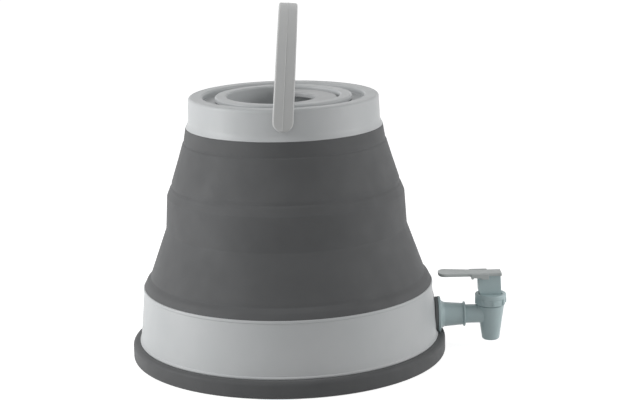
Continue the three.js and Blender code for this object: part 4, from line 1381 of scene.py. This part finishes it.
def barrel():
    return turned_on_tap_line("tap_barrel", [
        (SHANK_BORE, tap_low.x, 0.3),
        (SHANK_TUBE, tap_low.x, 0.5),
        (SHANK_TUBE, flange_back, 0.2),
        (flange_radius, flange_back, 0.4),
        (flange_radius, flange_face, 0.7),
        (BARREL_ROOT + COVE / 2, flange_face + COVE_FOOT, 2.4),
        (BARREL_ROOT, flange_face + COVE, 3),
        (BARREL_TIP, barrel_end, 0.3),
        (SOCKET_RADIUS, barrel_end, 0.3),
        (SOCKET_RADIUS, barrel_end - PIPE_SOCKET, 0.2),
        (SHANK_BORE, barrel_end - PIPE_SOCKET, 0.2),
    ], tap_finish)


place_on(barrel(), "base", "tap_plastic", "tap_shank")
print("barrel from", round(flange_back, 1), "to", round(barrel_end, 1))

# %% Disc
DISC_PLAY = 0.03
DISC_ROOT = 9.2
DISC_DRAFT = 0.25
DISC_TRIM = 0.2
disc_radius = disc_high.y - DISC_TRIM


def disc():
    return turned_on_tap_line("tap_disc", [
        (SOCKET_RADIUS, disc_low.x + DISC_PLAY, 0.1),
        (DISC_ROOT, disc_low.x + DISC_PLAY, 0.3),
        (disc_radius, disc_low.x + DISC_DRAFT, 0.6),
        (disc_radius, disc_high.x - DISC_DRAFT, 0.6),
        (DISC_ROOT, disc_high.x - DISC_PLAY, 0.3),
        (SOCKET_RADIUS, disc_high.x - DISC_PLAY, 0.1),
    ], tap_finish)


place_on(disc(), "base", "tap_plastic", "tap_stop_ring")
print("disc from", round(disc_low.x, 1), "to", round(disc_high.x, 1))

# %% [markdown]
# ## Spout and pipe of the tap
#
# The spout is a tall cone, widest at its top, and the pipe runs into its side. On the real
# moulding the two flow together with a small hollow round. A bevel easily tears on such a
# curved seam, so the round is made by bending the end of the pipe: each line along the pipe
# leaves its straight course just before it meets the cone and turns to follow the cone's skin,
# widest at the two sides and nearly sharp at the top and the bottom.

# %% Cone of the spout
SPOUT_TIP_RADIUS = 7.35
SPOUT_TOP_RADIUS = 11.7
NECK_HEIGHT = 4.9
body_low, body_high = corners_of("tap_body")
tap_axis = body_high.x - SPOUT_TOP_RADIUS
spout_top = body_high.z - NECK_HEIGHT
spout_low = body_low.z


def spout_radius(height):
    """The spout's outside radius at a height."""
    share = (height - spout_low) / (spout_top - spout_low)
    return SPOUT_TIP_RADIUS + (SPOUT_TOP_RADIUS - SPOUT_TIP_RADIUS) * share


def on_spout(y, height, sunk):
    """The point of the spout's near side at a place across and a height."""
    radius = spout_radius(height) - sunk
    return Vector((tap_axis - math.sqrt(max(0, radius * radius - y * y)), y, height))


print("the spout goes from", round(spout_low, 1), "to", round(spout_top, 1), "mm high")

# %% Pipe with a saddle
PIPE_RADIUS = 8.1
SPIGOT_RADIUS = 7.45
SADDLE_SIDE = 3.2
SADDLE_END = 0.6
SADDLE_STEPS = 8
SADDLE_SUNK = 0.35
SADDLE_REACH = 0.97
ROOT_SHARE = 0.6


def on_pipe(x, spoke):
    """A point beside the tap's line, at a place along it."""
    return Vector((x, *(spoke + Vector(tap_place))[1:]))


def pipe_line(angle):
    """One line along the pipe, from its start to where it has turned onto the spout."""
    outward = Vector((0, math.cos(angle), math.sin(angle)))
    spigot = outward * SPIGOT_RADIUS
    side = outward * PIPE_RADIUS
    reach = SADDLE_END + (SADDLE_SIDE - SADDLE_END) * math.cos(angle) ** 2
    meet = on_spout(side.y, tap_line + side.z, 0)
    leave = meet - Vector((reach, 0, 0))
    landing = side + outward * reach
    limit = spout_radius(tap_line + landing.z) * SADDLE_REACH
    land = on_spout(max(-limit, min(limit, landing.y)), tap_line + landing.z, SADDLE_SUNK)
    line = [on_pipe(disc_high.x - PIPE_SOCKET, spigot)]
    line += [on_pipe(disc_high.x, spigot), on_pipe(disc_high.x, side)]
    for step in range(SADDLE_STEPS + 1):
        share = step / SADDLE_STEPS
        first = leave.lerp(meet, share)
        second = meet.lerp(land, share)
        line.append(first.lerp(second, share))
    root_height = tap_line + (land.z - tap_line) * ROOT_SHARE
    line.append(Vector((tap_axis, land.y * ROOT_SHARE, root_height)))
    return line


def saddled_pipe():
    angles = [2 * math.pi * step / SMALL_STEPS for step in range(SMALL_STEPS)]
    lines = [pipe_line(angle) for angle in angles]
    sections = [[line[number] for line in lines] for number in range(len(lines[0]))]
    return lofted("pipe_form", sections, tap_finish)


print("a line along the pipe has", len(pipe_line(0)), "points")

# %% Spout body
SPOUT_BORE = 5.2
SPOUT_ROUND = 2.2
SPOUT_TIP_EASE = 0.05
OUTLET_FLARE = 0.3
OUTLET_ROUND = 0.8
CHAMBER_RADIUS = 8.6
NECK_RADIUS = 10.6
SEAT_HEIGHT = 19.5
PIPE_BORE = 5
spout_place = (tap_axis, 0, 0)


def turned_on_spout(name, outline):
    """A form turned about the spout's upright line."""
    return turned(name, outline, tap_finish, SMALL_STEPS, "Z", spout_place)


def spout():
    outline = rounded([
        (0, spout_low, 0),
        (SPOUT_TIP_RADIUS + SPOUT_TIP_EASE, spout_low, SPOUT_ROUND),
        (SPOUT_TOP_RADIUS, spout_top, 0.4),
        (NECK_RADIUS, spout_top, 0.2),
        (NECK_RADIUS, body_high.z, 0.3),
        (0, body_high.z, 0),
    ])
    piece = turned_on_spout("spout_body", outline)
    combine(piece, saddled_pipe(), "UNION")
    chamber_top = body_high.z + OVERRUN
    chamber = [(0, SEAT_HEIGHT), (CHAMBER_RADIUS, SEAT_HEIGHT)]
    chamber += [(CHAMBER_RADIUS, chamber_top), (0, chamber_top)]
    combine(piece, turned_on_spout("chamber_form", chamber), "DIFFERENCE")
    outlet = rounded([
        (0, spout_low - OVERRUN, 0),
        (SPOUT_BORE + OUTLET_FLARE, spout_low - OVERRUN, 0),
        (SPOUT_BORE, spout_low + OUTLET_ROUND, OUTLET_ROUND),
        (SPOUT_BORE, SEAT_HEIGHT + OVERRUN, 0),
        (0, SEAT_HEIGHT + OVERRUN, 0),
    ])
    combine(piece, turned_on_spout("outlet_form", outlet), "DIFFERENCE")
    bore = bar_along_x("pipe_bore", PIPE_BORE, disc_high.x - 2 * PIPE_SOCKET, tap_axis)
    return smooth_skin(combine(piece, bore, "DIFFERENCE"))


spout_body = place_on(spout(), "base", "tap_plastic", "tap_body")
print(spout_body.name, len(spout_body.data.polygons), "faces")

# %% [markdown]
# ## Bonnet of the tap
#
# The bonnet is the screwed cap that holds the valve. Its wall widens slightly upward to a
# broad band with a round edge, and eight short ribs below the band stand on its side for
# gripping. Its top is nearly flat. A slot in it lets the lever's block through, with a thin
# dark gap at its sides and more room in front and behind, where the block tilts. The cap is
# turned and the slot is cut. An Array modifier could repeat one rib round the cap, but the
# ribs would only pass through it. They are joined on one by one, so that cap and ribs share
# one skin and the soft edges run along the ribs' feet as well.

# %% Bonnet cap
BONNET_LOW_RADIUS = 12.6
BONNET_WALL_RADIUS = 12.95
BONNET_TOP_RADIUS = 13.6
BONNET_BAND = 3.6
BAND_SLOPE = 0.7
BONNET_ROUND = 1.9
BONNET_FLOOR = 3
RIM_WALL = 2.4
DECK_DROP = 0.15
STEM_BORE = 2.5
HUB_BACK = 11.6
HUB_FRONT = 8.9
HUB_HALF = 5.5
HEEL_LENGTH = 3
HEEL_ROOM = 1.4
FRONT_ROOM = 1
bonnet_low, bonnet_high = corners_of("tap_bonnet")
mouth_floor = body_high.z + BONNET_FLOOR
band_edge = bonnet_high.z - BONNET_BAND
hub_side = HUB_HALF + SEAT_GAP


def slotted_cap():
    """The turned cap with the slot for the lever's block."""
    deck = bonnet_high.z - DECK_DROP
    outline = rounded([
        (NECK_RADIUS + SEAT_GAP, bonnet_low.z, 0.3),
        (BONNET_LOW_RADIUS, bonnet_low.z, 0.8),
        (BONNET_WALL_RADIUS, band_edge - BAND_SLOPE, 0.4),
        (BONNET_TOP_RADIUS, band_edge, 0.5),
        (BONNET_TOP_RADIUS, bonnet_high.z, BONNET_ROUND),
        (BONNET_TOP_RADIUS - RIM_WALL, bonnet_high.z, 0.6),
        (BONNET_TOP_RADIUS - RIM_WALL - DECK_DROP, deck, 0.8),
        (STEM_BORE, deck, 0.3),
        (STEM_BORE, body_high.z, 0.1),
        (NECK_RADIUS + SEAT_GAP, body_high.z, 0.3),
    ])
    room_low = (tap_axis - HUB_BACK + HEEL_LENGTH - HEEL_ROOM, -hub_side, mouth_floor)
    room_high = (tap_axis + HUB_FRONT + FRONT_ROOM, hub_side, bonnet_high.z + OVERRUN)
    room = block("hub_room", room_low, room_high, tap_finish)
    return combine(turned_on_spout("bonnet_cap", outline), room, "DIFFERENCE")


bonnet_cap = slotted_cap()
print(bonnet_cap.name, "from", round(bonnet_low.z, 1), "to", round(bonnet_high.z, 1))

# %% Bonnet ribs
RIB_COUNT = 8
RIB_WIDTH = 1.6
RIB_PROUD = 0.12
RIB_SUNK = 1
RIB_RISE = 1
RIB_LAP = 0.2
RIB_TURN = math.radians(6)
BONNET_EDGE = 0.25
rib_low = (BONNET_LOW_RADIUS - RIB_SUNK, -RIB_WIDTH / 2, bonnet_low.z + RIB_RISE)
rib_high = (BONNET_TOP_RADIUS + RIB_PROUD, RIB_WIDTH / 2, band_edge + RIB_LAP)

for number in range(RIB_COUNT):
    rib = block("bonnet_rib", rib_low, rib_high, tap_finish)
    turn_rib = Matrix.Rotation(RIB_TURN + 2 * math.pi * number / RIB_COUNT, 4, "Z")
    rib.data.transform(Matrix.Translation(Vector(spout_place) * MM) @ turn_rib)
    combine(bonnet_cap, rib, "UNION")
smooth_skin(soft_edges(bonnet_cap, BONNET_EDGE, segments=3))
place_on(bonnet_cap, "base", "tap_plastic", "tap_bonnet")
print(bonnet_cap.name, len(bonnet_cap.data.polygons), "faces")

# %% [markdown]
# ## Valve spring
#
# A small steel spring under the bonnet presses the valve shut. It is a wire wound in a helix:
# one little circle is carried round and up, and the circles are lofted into a bar, in the same
# way as the thread's ribs. When the valve lifts, the real spring gets shorter. Here it is built
# at its full length, with a mesh of its own.

# %% Valve spring
SPRING_TURNS = 5
SPRING_WIRE = 0.5
WIRE_STEPS = 10
COIL_STEPS = 32
spring_low, spring_high = corners_of("tap_spring")
spring_coil = spring_high.y - SPRING_WIRE


def valve_spring():
    low = spring_low.z + SPRING_WIRE
    rise = spring_high.z - SPRING_WIRE - low
    turns = [2 * math.pi * step / WIRE_STEPS for step in range(WIRE_STEPS)]
    sections = []
    for step in range(SPRING_TURNS * COIL_STEPS + 1):
        angle = 2 * math.pi * step / COIL_STEPS
        height = low + rise * step / (SPRING_TURNS * COIL_STEPS)
        section = []
        for turn_of_wire in turns:
            radius = spring_coil + SPRING_WIRE * math.cos(turn_of_wire)
            level = height + SPRING_WIRE * math.sin(turn_of_wire)
            section.append((tap_axis + radius * math.cos(angle), radius * math.sin(angle), level))
        sections.append(section)
    return smooth_skin(lofted("valve_spring", sections, steel))


spring_piece = place_on(valve_spring(), "base", "spring_steel", "tap_spring")
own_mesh(spring_piece)

# %% [markdown]
# ## Lever of the tap
#
# The lever has three forms that move as one: a block with a cut-off heel, a flat paddle that
# points back over the barrel and widens to a round tip, and a clip that holds the paddle from
# below like a sleeve. The block and the clip are plates with rounded edges. The paddle is
# lofted from sections, since its tip is round both from above and from the side.

# %% Lever block
HUB_DRAFT = 0.7
HEEL_SLANT = 0.7
HEEL_HEIGHT = 5
HUB_EDGE = 0.5
TONGUE_HALF = 2.5
TONGUE_REACH = 6.5
TONGUE_ROOM = 2.5
hub_low, hub_high = corners_of("tap_lever_hub")
stem_top = corners_of("tap_stem")[1].z
hub_back = tap_axis - HUB_BACK
hub_front = tap_axis + HUB_FRONT


def lever_block():
    outline = [
        (hub_back + HEEL_LENGTH, hub_low.z),
        (hub_front, hub_low.z),
        (hub_front - HUB_DRAFT, hub_high.z),
        (hub_back, hub_high.z),
        (hub_back + HEEL_SLANT, hub_low.z + HEEL_HEIGHT),
    ]
    piece = plate("lever_block", outline, hub_low.y, hub_high.y, tap_finish, upright="Y")
    slot_low = (tap_axis - TONGUE_REACH, -TONGUE_HALF, hub_low.z - OVERRUN)
    slot_high = (tap_axis + TONGUE_REACH, TONGUE_HALF, stem_top + TONGUE_ROOM)
    combine(piece, block("tongue_slot", slot_low, slot_high, tap_finish), "DIFFERENCE")
    return smooth_skin(soft_edges(piece, HUB_EDGE))


place_on(lever_block(), "lever", "tap_plastic", "tap_lever_hub")
print("lever block from", round(hub_low.z, 1), "to", round(hub_high.z, 1))

# %% Section of the paddle
PADDLE_EDGE = 0.9
EDGE_OF_HALF = 0.6
SECTION_STEPS = 6
DISH_SHARES = (0.75, 0.5, 0.25, 0, -0.25, -0.5, -0.75)
paddle_low, paddle_high = corners_of("tap_lever_paddle")


def paddle_section(x, half, low, top, dish):
    """A cross section of the paddle: flat below, slightly dished above, with round edges."""
    edge = min(PADDLE_EDGE, half * EDGE_OF_HALF, (top - low) / 2)
    points = []
    rounds = ((half - edge, low + edge, -90), (half - edge, top - edge, 0))
    rounds += ((edge - half, top - edge, 90), (edge - half, low + edge, 180))
    for across, height, start in rounds:
        for step in range(SECTION_STEPS + 1):
            angle = math.radians(start + 90 * step / SECTION_STEPS)
            points.append((x, across + edge * math.cos(angle), height + edge * math.sin(angle)))
        if start == 0:
            for share in DISH_SHARES:
                points.append((x, (half - edge) * share, top - dish * (1 - share * share)))
    return points


sample = paddle_section(0, paddle_high.y, paddle_low.z, paddle_high.z, 0)
print("a section of the paddle has", len(sample), "points")

# %% Lever paddle
PADDLE_ROOT_HALF = 7.5
PADDLE_WIDENING = 1.8
PADDLE_RISE = 0.6
PADDLE_DISH = 0.35
DISH_FADE = 2.2
PADDLE_STEPS = 40
TIP_LENGTH = 7
TIP_BLUNTNESS = 1.25
TIP_STEPS = 24
TIP_START = 0.35
tip_radius = paddle_high.y
tip_centre = paddle_low.x + TIP_LENGTH


def tip_sections():
    """Sections of the round tip, close together where it curves most."""
    sections = []
    for step in range(TIP_STEPS):
        angle = math.pi / 2 * (step + TIP_START) / (TIP_STEPS + TIP_START)
        x = tip_centre - TIP_LENGTH * math.cos(angle) ** (1 / TIP_BLUNTNESS)
        depth = min(PADDLE_EDGE, x - paddle_low.x)
        rounding = PADDLE_EDGE - math.sqrt(PADDLE_EDGE ** 2 - (PADDLE_EDGE - depth) ** 2)
        dish = PADDLE_DISH * math.sin(angle) ** 2
        low = hub_high.z + PADDLE_RISE + rounding
        half = tip_radius * math.sin(angle) ** (1 / TIP_BLUNTNESS)
        sections.append((x, half, low, paddle_high.z - rounding / 2, dish))
    return sections


def blade_sections():
    """Sections from the tip to the hub, narrower and lower on the way."""
    thickness = paddle_high.z - paddle_low.z - PADDLE_RISE
    sections = []
    for step in range(PADDLE_STEPS + 1):
        share = step / PADDLE_STEPS
        x = tip_centre + (paddle_high.x - tip_centre) * share
        dish = PADDLE_DISH * max(0, 1 - DISH_FADE * share)
        half = PADDLE_ROOT_HALF + (tip_radius - PADDLE_ROOT_HALF) * (1 - share) ** PADDLE_WIDENING
        low = hub_high.z + PADDLE_RISE * max(0, (hub_back - x) / (hub_back - tip_centre))
        sections.append((x, half, low, low + thickness, dish))
    return sections


def paddle():
    sections = [paddle_section(*section) for section in tip_sections() + blade_sections()]
    return smooth_skin(lofted("lever_paddle", sections, lever_finish))


place_on(paddle(), "lever", "tap_plastic", "tap_lever_paddle")
print("paddle from", round(paddle_low.x, 1), "to", round(paddle_high.x, 1))

# %% Lever clip
CLIP_WALL = 1.5
CLIP_FLOOR = 0.9
CLIP_LEG = 2.1
CLIP_LEG_DROP = 1
CLIP_EDGE = 0.35
CHANNEL_SUNK = 0.02
CHEEK_LENGTH = 6.6
clip_low, clip_high = corners_of("tap_lever_clip")


def clip():
    floor = hub_high.z - CLIP_FLOOR
    cheek_start = clip_high.x - CHEEK_LENGTH
    outline = [
        (clip_low.x, floor - CLIP_LEG_DROP),
        (clip_low.x + CLIP_LEG, floor - CLIP_LEG_DROP),
        (clip_low.x + CLIP_LEG, floor),
        (cheek_start, floor),
        (cheek_start, clip_low.z),
        (clip_high.x, clip_low.z),
        (clip_high.x, clip_high.z),
        (clip_low.x, clip_high.z),
    ]
    piece = plate("lever_clip", outline, clip_low.y, clip_high.y, lever_finish, upright="Y")
    inside = clip_high.y - CLIP_WALL
    channel_low = (clip_low.x - OVERRUN, -inside, hub_high.z - CHANNEL_SUNK)
    channel_high = (clip_high.x + OVERRUN, inside, clip_high.z + OVERRUN)
    combine(piece, block("paddle_channel", channel_low, channel_high, lever_finish), "DIFFERENCE")
    room_low = (hub_back - SEAT_GAP, -hub_side, clip_low.z - OVERRUN)
    room_high = (clip_high.x + OVERRUN, hub_side, hub_high.z + OVERRUN)
    combine(piece, block("hub_room", room_low, room_high, lever_finish), "DIFFERENCE")
    return smooth_skin(soft_edges(piece, CLIP_EDGE, segments=3))


place_on(clip(), "lever", "tap_plastic", "tap_lever_clip")
print("clip from", round(clip_low.x, 1), "to", round(clip_high.x, 1))

# %% [markdown]
# ## Pieces that stay as they are
#
# The clamp rings, the lock nut, the inner seal, the small rubber ring, the valve and the
# lever's pin sit inside the carrier. Their engineering forms are right and hardly show, so
# they stay. Every engineering piece gets the finish of what it is made of, also the ones that
# a dressed piece now stands for, so that none is ever seen bare.

# %% Finish the engineering pieces
SLOT_FINISHES = {
    "light_plastic": pale,
    "handle_plastic": bail_finish,
    "tap_plastic": tap_finish,
    "wall_silicone": silicone,
    "foot_rubber": foot_finish,
    "seal_rubber": seal_finish,
    "spring_steel": steel,
}
slots = {part["node"]: part["material_slot"] for part in frame["record"]["subparts"]}
for name, node in frame["nodes"].items():
    node.data.materials.clear()
    node.data.materials.append(SLOT_FINISHES[slots[name]])
print("finished", len(slots), "engineering pieces with", len(SLOT_FINISHES), "finishes")
